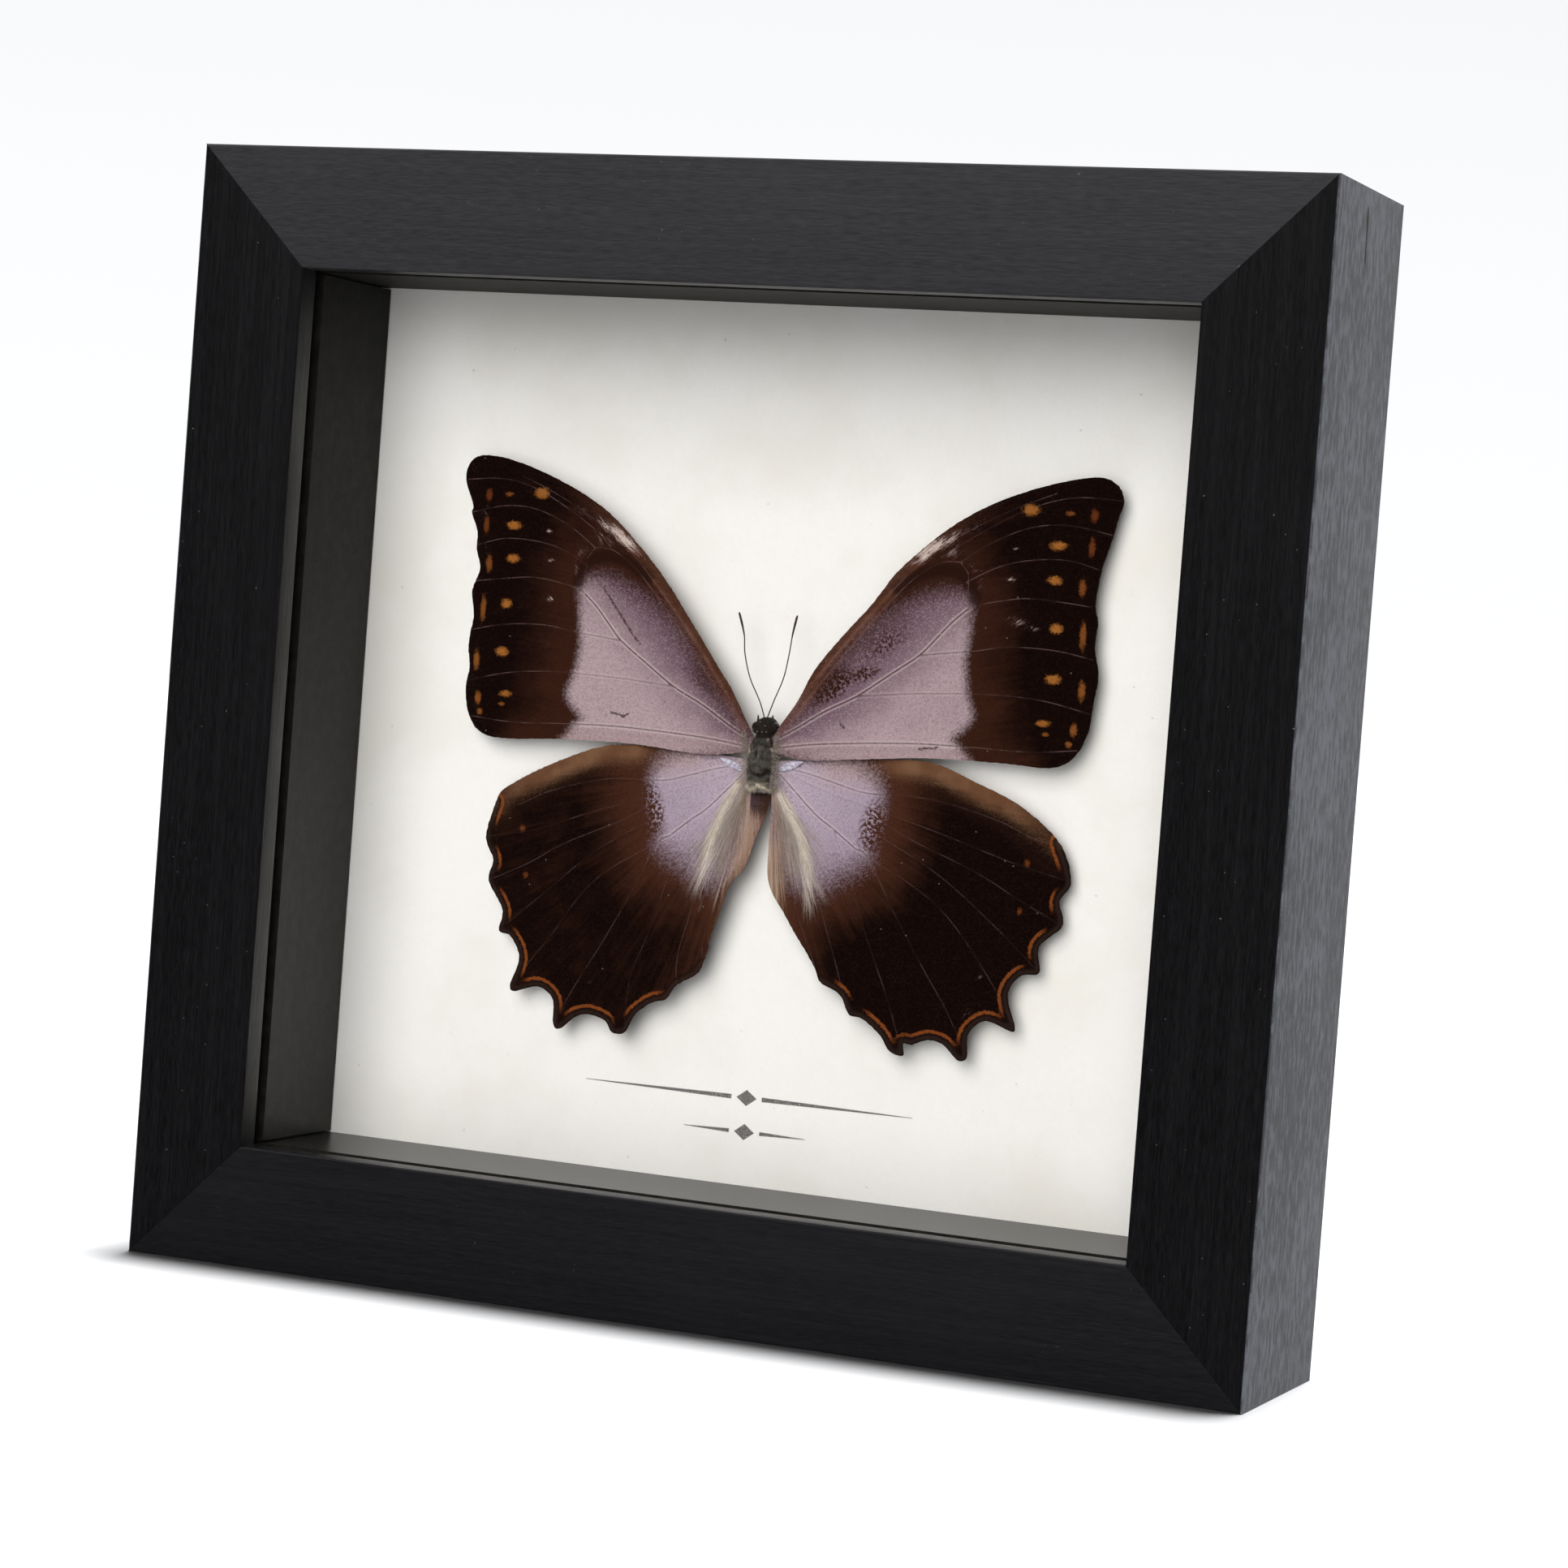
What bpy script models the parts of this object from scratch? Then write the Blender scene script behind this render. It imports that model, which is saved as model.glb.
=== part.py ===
"""Framed butterfly specimen: a black wooden box frame, glazed, with one set butterfly on its card.

Metres, +Z up. The frame stands on its bottom face and looks along -Y. The origin is at the
middle of the bottom face. Sizes below are in millimetres and are scaled by MM where they are used.
"""
import math

import bmesh
import bpy
from mathutils import Vector
from mathutils.geometry import delaunay_2d_cdt

MM = 0.001
GAP = 0.3                   # air between pieces that touch in the real object

# Frame, seen from the front.
WIDTH = 178.0
HEIGHT = 170.0
DEPTH = 35.0
FACE_WIDTH = 18.3           # a rail, from the outer edge to the opening
WALL_WIDTH = 12.5           # a rail behind its lip
LIP_DEPTH = 4.5
ARRIS = 0.35                # eased edge of a rail

# Layers behind the lip, as depths from the front face.
GLASS_THICKNESS = 2.9
SPACER_FRONT = 8.0
CARD_FRONT = 29.5
CARD_THICKNESS = 1.2
BOARD_THICKNESS = 1.7

# Fixings on the back.
POINT_SIZE = (9.0, 3.6, 0.5)        # length, reach over the board, thickness
POINT_OFFSET = 42.0                 # from the middle of a rail
HANGER_LENGTH = 42.0
HANGER_HEIGHT = 8.0
HANGER_SHEET = 0.7
HANGER_BOW = 0.8                    # how far the toothed middle stands off
HANGER_MIDDLE = 24.0                # length of the bowed stretch
HANGER_RAMP = 1.0                   # length of each slope up to it
HANGER_TEETH = 8
TOOTH_DEPTH = 1.6
HANGER_DROP = 26.0                  # below the top of the frame
NAIL_RADIUS = 1.7
NAIL_HEIGHT = 0.6
NAIL_OFFSET = 17.0

# The specimen: its own upright axis leans a little in the frame.
SPECIMEN_X = 0.3
SPECIMEN_Z = 82.0
SPECIMEN_LEAN = 1.4                 # degrees
WING_DEPTH = 24.5                   # front of the forewings at their root, from the frame's face
WING_THICKNESS = 0.35
WING_STEP = 0.7                     # hindwings lie this much behind the forewings
WING_REACH = 53.0
WING_DROOP = 2.0                    # how far a wing sinks to the card at its reach
WING_GRID = 4.0                     # spacing of the points inside a wing
SPAN_STEPS = 2                      # points made for each span of an outline

# Wing outlines, outwards from the body's axis and up, clockwise on the right wings. The two
# sides of the specimen differ a little, and the right hindwing has lost a piece at its fifth point.
RIGHT_FOREWING = [
    (2.8, 6.2), (5.6, 10.1), (8.1, 15.0), (12.0, 20.0), (16.5, 25.0), (20.3, 30.0), (25.8, 35.0),
    (29.9, 38.0), (34.6, 40.6), (39.9, 42.7), (45.6, 44.3), (50.5, 45.0), (53.1, 44.0), (54.2, 41.7),
    (53.5, 39.2), (52.9, 36.5), (51.5, 31.5), (50.8, 26.5), (51.3, 23.8), (51.0, 20.4), (51.8, 16.2),
    (51.3, 11.9), (50.7, 7.7), (48.7, 3.9), (45.2, 2.3), (38.0, 2.6), (26.6, 2.7), (15.2, 1.9),
    (7.5, 1.3), (2.8, 2.4)]
LEFT_FOREWING = [
    (2.8, 6.9), (5.1, 11.1), (7.4, 14.2), (12.3, 20.8), (17.0, 27.1), (22.0, 32.5), (27.4, 37.3),
    (33.8, 40.9), (40.8, 43.7), (46.8, 45.3), (50.9, 45.3), (52.8, 43.4), (52.8, 41.0), (51.5, 37.8),
    (51.6, 36.4), (50.4, 33.7), (50.3, 30.8), (49.6, 27.9), (50.9, 24.4), (50.4, 20.8), (51.0, 16.2),
    (50.6, 12.6), (51.1, 9.5), (50.4, 5.6), (48.1, 2.7), (43.6, 1.9), (32.9, 2.3), (21.2, 2.2),
    (9.5, 1.3), (2.8, 2.4)]
RIGHT_HINDWING = [
    (2.8, 1.0), (9.0, 1.6), (20.2, 2.2), (27.0, 2.1), (34.2, -0.5), (41.0, -3.5), (47.1, -8.5),
    (49.1, -14.1), (47.6, -17.0), (48.2, -20.6), (44.9, -23.9), (45.1, -27.7), (42.3, -28.4),
    (40.5, -31.3), (41.9, -35.9), (41.3, -36.6), (38.9, -35.7), (36.9, -35.5), (34.8, -37.6),
    (34.8, -41.0), (33.4, -41.5), (31.0, -39.4), (28.6, -38.9), (26.1, -39.8), (24.8, -39.7),
    (24.9, -41.5), (22.8, -41.1), (21.0, -38.7), (18.2, -36.6), (16.0, -36.0), (14.4, -33.3),
    (11.1, -31.6), (9.8, -29.1), (5.3, -22.6), (2.1, -17.5), (1.7, -12.0), (1.9, -5.2), (2.8, -3.6)]
LEFT_HINDWING = [
    (2.8, 1.0), (9.0, 1.5), (20.4, 2.1), (27.4, 1.5), (36.3, -1.9), (43.4, -5.7), (45.0, -8.0),
    (46.5, -13.4), (45.0, -17.0), (45.6, -20.2), (42.9, -24.5), (43.3, -27.8), (41.2, -28.6),
    (39.5, -31.8), (40.8, -36.0), (40.2, -37.0), (38.0, -36.4), (35.6, -36.0), (33.2, -37.7),
    (32.9, -41.4), (31.7, -42.1), (29.2, -40.1), (26.8, -39.5), (24.0, -40.3), (22.7, -41.9),
    (20.5, -41.7), (18.9, -38.9), (16.3, -36.9), (13.9, -36.1), (12.3, -33.9), (9.4, -32.2),
    (8.1, -30.4), (5.8, -23.1), (4.1, -18.0), (2.0, -15.2), (0.6, -10.9), (-0.8, -7.3),
    (-1.3, -5.1), (2.2, -4.9)]

# The body, as rings down its own axis: height, half width, half depth.
BODY_RINGS = [
    (7.5, 0.6, 0.7), (7.1, 1.3, 1.3), (6.4, 1.9, 1.8), (5.6, 2.0, 2.0), (4.9, 1.7, 1.9),
    (4.3, 1.8, 2.2), (3.2, 2.2, 2.9), (1.8, 2.35, 3.3), (0.2, 2.4, 3.4), (-1.4, 2.3, 3.2),
    (-2.6, 2.1, 2.8), (-3.5, 1.8, 2.2), (-3.9, 1.4, 1.6), (-4.3, 0.7, 0.9)]
BODY_SIDES = 18
BODY_CENTRE_DEPTH = 25.8            # the body's axis, from the frame's face
BODY_TURN = 0.04                    # sideways shift of the axis for each mm of height

# Antennae: points on the right one, then the same for the left.
RIGHT_ANTENNA = [(0.5, 8.0), (1.4, 9.9), (2.8, 13.5), (3.5, 17.1), (3.9, 20.1), (4.5, 22.9)]
LEFT_ANTENNA = [(0.0, 8.0), (-0.9, 9.8), (-2.7, 13.3), (-3.7, 16.8), (-4.0, 19.7), (-5.0, 23.0)]
ANTENNA_RADIUS = 0.16
ANTENNA_CLUB = 1.7                  # times as thick at the tip
ANTENNA_DEPTH = 25.0
ANTENNA_STEPS = 4                   # points made for each span

BLACK_WOOD = ("black stained wood", (0.018, 0.018, 0.021), 0.42, 0.0)
CLEAR_GLASS = ("clear glass", (0.85, 0.9, 0.88), 0.03, 0.0)
CARD_PAPER = ("off-white card", (0.78, 0.76, 0.70), 0.85, 0.0)
HARDBOARD = ("brown hardboard", (0.23, 0.14, 0.075), 0.75, 0.0)
STEEL = ("zinc-plated steel", (0.55, 0.55, 0.53), 0.35, 1.0)
WING_BROWN = ("dark brown wing", (0.035, 0.014, 0.009), 0.8, 0.0)
BODY_BROWN = ("dark brown body", (0.03, 0.022, 0.018), 0.9, 0.0)


def clear_scene():
    for old in list(bpy.data.objects):
        bpy.data.objects.remove(old, do_unlink=True)


def finish_for(spec):
    name, colour, roughness, metallic = spec
    material = bpy.data.materials.get(name) or bpy.data.materials.new(name)
    material.use_nodes = True
    shader = material.node_tree.nodes["Principled BSDF"]
    shader.inputs["Base Color"].default_value = (*colour, 1.0)
    shader.inputs["Roughness"].default_value = roughness
    shader.inputs["Metallic"].default_value = metallic
    if spec is CLEAR_GLASS:
        shader.inputs["Transmission Weight"].default_value = 1.0
        shader.inputs["IOR"].default_value = 1.5
    return material


def add_object(name, bm, spec, parent=None):
    """Scale a bmesh drawn in millimetres and make it a named object with its own material."""
    bmesh.ops.scale(bm, vec=(MM, MM, MM), verts=bm.verts)
    bmesh.ops.recalc_face_normals(bm, faces=bm.faces)
    mesh = bpy.data.meshes.new(name)
    bm.to_mesh(mesh)
    bm.free()
    obj = bpy.data.objects.new(name, mesh)
    obj.data.materials.append(finish_for(spec))
    bpy.context.scene.collection.objects.link(obj)
    obj.parent = parent
    return obj


def box_mesh(low, high):
    bm = bmesh.new()
    bmesh.ops.create_cube(bm, size=1.0)
    for vert in bm.verts:
        vert.co = Vector(lo if c < 0 else hi for lo, hi, c in zip(low, high, vert.co))
    return bm


def from_front(depth):
    """The Y of a depth behind the front face."""
    return depth - DEPTH / 2


def rail_profile():
    """A rail's section: distance in from the outer edge, and depth from the front face."""
    return [
        (0.0, ARRIS), (ARRIS, 0.0), (FACE_WIDTH - ARRIS, 0.0), (FACE_WIDTH, ARRIS),
        (FACE_WIDTH, LIP_DEPTH), (WALL_WIDTH, LIP_DEPTH), (WALL_WIDTH, DEPTH),
        (ARRIS, DEPTH), (0.0, DEPTH - ARRIS)]


def make_rail(name, length, across, quarter_turns):
    """A mitred rail, drawn as the bottom one and turned about the middle of the frame."""
    half = length / 2 - GAP / math.sqrt(2)
    bm = bmesh.new()
    ends = []
    for side in (-1, 1):
        ends.append([bm.verts.new((side * (half - inset), from_front(depth), inset - across / 2))
                     for inset, depth in rail_profile()])
    count = len(ends[0])
    for i in range(count):
        j = (i + 1) % count
        bm.faces.new((ends[0][i], ends[0][j], ends[1][j], ends[1][i]))
    bm.faces.new(ends[0])
    bm.faces.new(ends[1])
    rail = add_object(name, bm, BLACK_WOOD)
    rail.rotation_euler.y = -quarter_turns * math.pi / 2
    rail.location.z = HEIGHT / 2 * MM


def make_frame():
    make_rail("frame_rail_bottom", WIDTH, HEIGHT, 0)
    make_rail("frame_rail_right", HEIGHT, WIDTH, 1)
    make_rail("frame_rail_top", WIDTH, HEIGHT, 2)
    make_rail("frame_rail_left", HEIGHT, WIDTH, 3)


def make_layer(name, front, thickness, spec, clearance=GAP):
    """A flat sheet that fills the space inside the rails."""
    half = WIDTH / 2 - WALL_WIDTH - clearance
    low = (-half, from_front(front), WALL_WIDTH + clearance)
    high = (half, from_front(front + thickness), HEIGHT - WALL_WIDTH - clearance)
    return add_object(name, box_mesh(low, high), spec)


def make_spacers():
    """Four sticks that hold the card off the glass, flush with the frame's opening."""
    near = from_front(SPACER_FRONT)
    far = from_front(CARD_FRONT - GAP)
    outer_x = WIDTH / 2 - WALL_WIDTH - GAP
    inner_x = WIDTH / 2 - FACE_WIDTH
    levels = (WALL_WIDTH + GAP, FACE_WIDTH, HEIGHT - FACE_WIDTH, HEIGHT - WALL_WIDTH - GAP)
    boxes = {
        "spacer_bottom": ((-outer_x, near, levels[0]), (outer_x, far, levels[1])),
        "spacer_top": ((-outer_x, near, levels[2]), (outer_x, far, levels[3])),
        "spacer_left": ((-outer_x, near, levels[1] + GAP), (-inner_x, far, levels[2] - GAP)),
        "spacer_right": ((inner_x, near, levels[1] + GAP), (outer_x, far, levels[2] - GAP))}
    for name, (low, high) in boxes.items():
        add_object(name, box_mesh(low, high), BLACK_WOOD)


def board_back():
    """Depth of the back board's back face."""
    return CARD_FRONT + CARD_THICKNESS + GAP + BOARD_THICKNESS


def make_framers_points():
    """Flat steel points driven into the rails, over the back board."""
    length, reach, thickness = POINT_SIZE
    near = from_front(board_back() + GAP)
    wall_x = WIDTH / 2 - WALL_WIDTH - GAP
    wall_z = HEIGHT / 2 - WALL_WIDTH - GAP
    for side, sign in (("low", -1), ("high", 1)):
        middle = sign * POINT_OFFSET
        for edge, out in (("left", -1), ("right", 1)):
            xs = sorted((out * wall_x, out * (wall_x - reach)))
            low = (xs[0], near, HEIGHT / 2 + middle - length / 2)
            high = (xs[1], near + thickness, HEIGHT / 2 + middle + length / 2)
            add_object(f"point_{edge}_{side}", box_mesh(low, high), STEEL)
        for edge, out in (("bottom", -1), ("top", 1)):
            zs = sorted((out * wall_z, out * (wall_z - reach)))
            low = (middle - length / 2, near, HEIGHT / 2 + zs[0])
            high = (middle + length / 2, near + thickness, HEIGHT / 2 + zs[1])
            add_object(f"point_{edge}_{side}", box_mesh(low, high), STEEL)


def hanger_outline():
    """The strip's front view: a plain top edge, and teeth along the middle of its lower edge."""
    half, top, middle = HANGER_LENGTH / 2, HANGER_HEIGHT / 2, HANGER_MIDDLE / 2
    pitch = HANGER_MIDDLE / HANGER_TEETH
    points = [(half, -top), (half, top), (middle, top), (middle - HANGER_RAMP, top),
              (HANGER_RAMP - middle, top), (-middle, top), (-half, top), (-half, -top)]
    for i in range(HANGER_TEETH):
        start = -middle + i * pitch
        points += [(start, -top), (start + pitch / 2, -top + TOOTH_DEPTH)]
    points.append((middle, -top))
    return points


def make_hanger():
    """A sawtooth hanger on the back board, its middle bowed off the board."""
    near = from_front(board_back() + GAP)
    centre_z = HEIGHT - HANGER_DROP
    outline = hanger_outline()

    def bow(x):
        return HANGER_BOW if abs(x) < HANGER_MIDDLE / 2 - HANGER_RAMP + 0.01 else 0.0

    bm = bmesh.new()
    near_face = [bm.verts.new((x, near + bow(x), centre_z + z)) for x, z in outline]
    far_face = [bm.verts.new((x, near + bow(x) + HANGER_SHEET, centre_z + z)) for x, z in outline]
    flat = delaunay_2d_cdt([Vector(p) for p in outline], [], [list(range(len(outline)))], 1, 1e-5)
    for tri in flat[2]:
        bm.faces.new([near_face[i] for i in tri])
        bm.faces.new([far_face[i] for i in reversed(tri)])
    count = len(outline)
    for i in range(count):
        j = (i + 1) % count
        bm.faces.new((near_face[i], far_face[i], far_face[j], near_face[j]))
    add_object("sawtooth_hanger", bm, STEEL)

    for name, sign in (("hanger_nail_left", -1), ("hanger_nail_right", 1)):
        bm = bmesh.new()
        bmesh.ops.create_cone(bm, cap_ends=True, segments=16, radius1=NAIL_RADIUS,
                              radius2=NAIL_RADIUS * 0.6, depth=NAIL_HEIGHT)
        bmesh.ops.rotate(bm, cent=(0, 0, 0), verts=bm.verts,
                         matrix=Vector((0, 0, 1)).rotation_difference(Vector((0, 1, 0))).to_matrix())
        middle = near + HANGER_SHEET + GAP + NAIL_HEIGHT / 2
        bmesh.ops.translate(bm, vec=(sign * NAIL_OFFSET, middle, centre_z), verts=bm.verts)
        add_object(name, bm, STEEL)


def smooth_loop(points, steps):
    """A Catmull-Rom curve through a closed list of points."""
    count = len(points)
    loop = []
    for i in range(count):
        p0, p1, p2, p3 = (Vector(points[(i + k) % count]) for k in (-1, 0, 1, 2))
        for step in range(steps):
            t = step / steps
            loop.append(0.5 * (2 * p1 + (p2 - p0) * t + (2 * p0 - 5 * p1 + 4 * p2 - p3) * t ** 2
                               + (3 * p1 - p0 - 3 * p2 + p3) * t ** 3))
    return loop


def inside_and_clear(point, loop, clear):
    """True where a point is inside a loop and not close to its edge."""
    inside = False
    for a, b in zip(loop, loop[1:] + loop[:1]):
        if (a.y > point.y) != (b.y > point.y):
            if point.x < a.x + (point.y - a.y) / (b.y - a.y) * (b.x - a.x):
                inside = not inside
        edge = b - a
        t = max(0.0, min(1.0, (point - a).dot(edge) / edge.length_squared))
        if (a + edge * t - point).length < clear:
            return False
    return inside


def droop(x):
    """How far a wing has sunk to the card at a distance from the body's axis."""
    return WING_DROOP * (x / WING_REACH) ** 2


def make_wing(name, points, side, front, parent):
    """A thin wing that follows an outline and sinks to the card at its tip."""
    loop = smooth_loop(points, SPAN_STEPS)
    grid = list(loop)
    for i in range(-1, 15):
        for k in range(-12, 13):
            point = Vector(((i + 0.5 * (k % 2)) * WING_GRID, k * WING_GRID))
            if inside_and_clear(point, loop, WING_GRID * 0.4):
                grid.append(point)
    flat = delaunay_2d_cdt(grid, [], [list(range(len(loop)))], 1, 1e-5)
    bm = bmesh.new()
    faces = []
    for lift in (0.0, WING_THICKNESS):
        faces.append([bm.verts.new((side * p.x, front + droop(p.x) + lift, p.y)) for p in flat[0]])
    for tri in flat[2]:
        bm.faces.new([faces[0][i] for i in tri])
        bm.faces.new([faces[1][i] for i in reversed(tri)])
    count = len(loop)
    for i in range(count):
        j = (i + 1) % count
        bm.faces.new((faces[0][i], faces[0][j], faces[1][j], faces[1][i]))
    return add_object(name, bm, WING_BROWN, parent)


def make_wings(parent):
    make_wing("forewing_right", RIGHT_FOREWING, 1, 0.0, parent)
    make_wing("forewing_left", LEFT_FOREWING, -1, 0.0, parent)
    make_wing("hindwing_right", RIGHT_HINDWING, 1, WING_STEP, parent)
    make_wing("hindwing_left", LEFT_HINDWING, -1, WING_STEP, parent)


def make_body(parent):
    """Head, thorax and the stump of the abdomen, lofted through oval rings."""
    centre = BODY_CENTRE_DEPTH - WING_DEPTH
    bm = bmesh.new()
    rings = []
    for height, half_width, half_depth in BODY_RINGS:
        ring = []
        for i in range(BODY_SIDES):
            angle = 2 * math.pi * i / BODY_SIDES
            ring.append(bm.verts.new((BODY_TURN * height + half_width * math.cos(angle),
                                      centre + half_depth * math.sin(angle), height)))
        rings.append(ring)
    for upper, lower in zip(rings, rings[1:]):
        for i in range(BODY_SIDES):
            j = (i + 1) % BODY_SIDES
            bm.faces.new((upper[i], lower[i], lower[j], upper[j]))
    bm.faces.new(rings[0])
    bm.faces.new(rings[-1])
    body = add_object("butterfly_body", bm, BODY_BROWN, parent)
    body.data.shade_smooth()


def make_antenna(name, points, parent):
    """A thin feeler with a thicker tip, on a smooth curve."""
    padded = [points[0]] + points + [points[-1]]
    route = []
    for i in range(len(points) - 1):
        p0, p1, p2, p3 = (Vector(p) for p in padded[i:i + 4])
        for step in range(ANTENNA_STEPS):
            t = step / ANTENNA_STEPS
            route.append(0.5 * (2 * p1 + (p2 - p0) * t + (2 * p0 - 5 * p1 + 4 * p2 - p3) * t ** 2
                                + (3 * p1 - p0 - 3 * p2 + p3) * t ** 3))
    route.append(Vector(points[-1]))
    curve = bpy.data.curves.new(name, "CURVE")
    curve.dimensions = "3D"
    curve.bevel_depth = ANTENNA_RADIUS * MM
    curve.bevel_resolution = 1
    curve.use_fill_caps = True
    curve.materials.append(finish_for(BODY_BROWN))
    spline = curve.splines.new("POLY")
    spline.points.add(len(route) - 1)
    club_from = len(route) - 2 * ANTENNA_STEPS
    for i, (slot, p) in enumerate(zip(spline.points, route)):
        slot.co = (p.x * MM, (ANTENNA_DEPTH - WING_DEPTH) * MM, p.y * MM, 1.0)
        slot.radius = ANTENNA_CLUB if i >= club_from else 1.0
    obj = bpy.data.objects.new(name, curve)
    bpy.context.scene.collection.objects.link(obj)
    obj.parent = parent


def make_specimen():
    """The butterfly, on an empty that gives it its place and its slight lean."""
    specimen = bpy.data.objects.new("specimen", None)
    bpy.context.scene.collection.objects.link(specimen)
    specimen.location = Vector((SPECIMEN_X, from_front(WING_DEPTH), SPECIMEN_Z)) * MM
    specimen.rotation_euler.y = -math.radians(SPECIMEN_LEAN)
    make_wings(specimen)
    make_body(specimen)
    make_antenna("antenna_right", RIGHT_ANTENNA, specimen)
    make_antenna("antenna_left", LEFT_ANTENNA, specimen)


def main():
    clear_scene()
    make_frame()
    make_layer("glass_pane", LIP_DEPTH + GAP, GLASS_THICKNESS, CLEAR_GLASS)
    make_spacers()
    make_layer("backing_card", CARD_FRONT, CARD_THICKNESS, CARD_PAPER)
    make_layer("back_board", CARD_FRONT + CARD_THICKNESS + GAP, BOARD_THICKNESS, HARDBOARD)
    make_framers_points()
    make_hanger()
    make_specimen()


main()
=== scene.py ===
"""Framed butterfly specimen: the finish of the frame, glass and card, and the butterfly's fine surface.

Lengths inside this script are millimetres, in the frame's own axes: +X right, +Y to the back, +Z up.
Meshes are scaled to metres when they are made. Wings are drawn in a flat frame of their own,
outwards from the body's axis and up.
"""
import math

import bpy
import numpy as np
from mathutils import Matrix, Vector
from mathutils.geometry import delaunay_2d_cdt


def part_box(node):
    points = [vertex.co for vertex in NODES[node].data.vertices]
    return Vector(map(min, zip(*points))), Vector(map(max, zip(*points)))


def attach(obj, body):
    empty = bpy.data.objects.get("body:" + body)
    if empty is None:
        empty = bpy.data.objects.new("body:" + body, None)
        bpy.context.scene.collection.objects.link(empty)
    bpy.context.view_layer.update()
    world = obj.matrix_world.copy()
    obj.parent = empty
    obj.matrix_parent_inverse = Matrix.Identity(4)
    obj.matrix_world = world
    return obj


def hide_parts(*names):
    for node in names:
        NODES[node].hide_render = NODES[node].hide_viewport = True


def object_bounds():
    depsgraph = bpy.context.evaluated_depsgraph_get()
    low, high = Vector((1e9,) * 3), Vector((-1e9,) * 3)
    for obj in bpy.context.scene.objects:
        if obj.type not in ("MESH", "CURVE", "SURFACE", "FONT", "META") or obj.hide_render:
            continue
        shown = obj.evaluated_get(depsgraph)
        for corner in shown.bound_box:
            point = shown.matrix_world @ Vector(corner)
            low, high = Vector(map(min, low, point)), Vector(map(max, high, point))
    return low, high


bl_info = {
    "name": "Framed butterfly specimen",
    "version": (1, 0, 0),
    "blender": (4, 5, 0),
    "location": "View3D > Sidebar > Specimen",
    "description": "Finishes a glazed box frame and the set butterfly inside it",
    "category": "Object",
}

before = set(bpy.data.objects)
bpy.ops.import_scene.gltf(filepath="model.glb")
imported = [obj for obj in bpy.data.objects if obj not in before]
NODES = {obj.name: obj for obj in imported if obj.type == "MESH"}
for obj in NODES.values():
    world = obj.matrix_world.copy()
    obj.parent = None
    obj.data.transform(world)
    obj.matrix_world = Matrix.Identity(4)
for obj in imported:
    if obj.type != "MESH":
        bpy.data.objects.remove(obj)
CAD_BOX = [list(corner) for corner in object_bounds()]

MM = 0.001

RAIL_LOW = Vector(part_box("frame_rail_top")[0]) / MM
WIDTH = CAD_BOX[1][0] / MM - CAD_BOX[0][0] / MM
HEIGHT = CAD_BOX[1][2] / MM
DEPTH = CAD_BOX[1][1] / MM - CAD_BOX[0][1] / MM
FRONT_Y = CAD_BOX[0][1] / MM
FACE_WIDTH = HEIGHT - RAIL_LOW.z
LIP_DEPTH = 4.5
WALL_WIDTH = 12.5
ARRIS = 0.35
MITRE_GAP = 0.015
MITRE_EASE = 0.12                    # the mitre's edges are eased by this share of the arris
# Painted shade: the uprights' copy of the black stain is made darker, for the light from above that level
# grain catches and upright grain does not.
UPRIGHT_SHADE_SHARE = 0.46                 # grain that runs up and down shows darker than level grain

# The specimen's place, as the solids have it.
SPECIMEN_X = 0.3
SPECIMEN_Z = 82.0
SPECIMEN_LEAN = math.radians(1.4)
WING_Y = 7.0                        # front of the forewings at their root
WING_STEP = 0.7                     # hindwings lie this much behind the forewings
WING_REACH = 53.0
WING_DROOP = 2.0
WING_SHEET = 0.12                   # thickness of the fine wings
FAN_X = 1.5                         # the hindwings' veins fan out from here
LEFT_SHIFT = 300.0                  # keeps the left wings' grain unlike the right wings'
HAIR_POINTS = 7                     # a hair is two rings of three points and a tip

# Wing outlines, from the root round the leading edge, the outer margin and the hind margin.
RIGHT_FOREWING = [
    (2.8, 6.2), (5.6, 10.1), (8.1, 15.0), (12.0, 20.0), (16.5, 25.0), (20.3, 30.0), (25.8, 35.0),
    (29.9, 38.0), (34.6, 40.6), (39.9, 42.7), (45.6, 44.3), (50.5, 45.0), (53.1, 44.0), (54.2, 41.7),
    (53.5, 39.2), (52.9, 36.5), (51.5, 31.5), (50.8, 26.5), (51.3, 23.8), (51.0, 20.4), (51.8, 16.2),
    (51.3, 11.9), (50.7, 7.7), (48.7, 3.9), (45.2, 2.3), (38.0, 2.6), (26.6, 2.7), (15.2, 1.9),
    (7.5, 1.3), (2.8, 2.0), (1.3, 2.2), (1.3, 3.9), (2.1, 5.0)]
LEFT_FOREWING = [
    (2.8, 6.9), (5.1, 11.1), (7.4, 14.2), (12.3, 20.8), (17.0, 27.1), (22.0, 32.5), (27.4, 37.3),
    (33.8, 40.9), (40.8, 43.7), (46.8, 45.3), (50.9, 45.3), (52.8, 43.4), (52.8, 41.0), (51.5, 37.8),
    (51.6, 36.4), (50.4, 33.7), (50.3, 30.8), (49.6, 27.9), (50.9, 24.4), (50.4, 20.8), (51.0, 16.2),
    (50.6, 12.6), (51.1, 9.5), (50.4, 5.6), (48.1, 2.7), (43.6, 1.9), (32.9, 2.3), (21.2, 2.2),
    (9.5, 1.3), (2.8, 2.0), (1.3, 2.2), (1.3, 4.2), (1.9, 5.4)]
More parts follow.
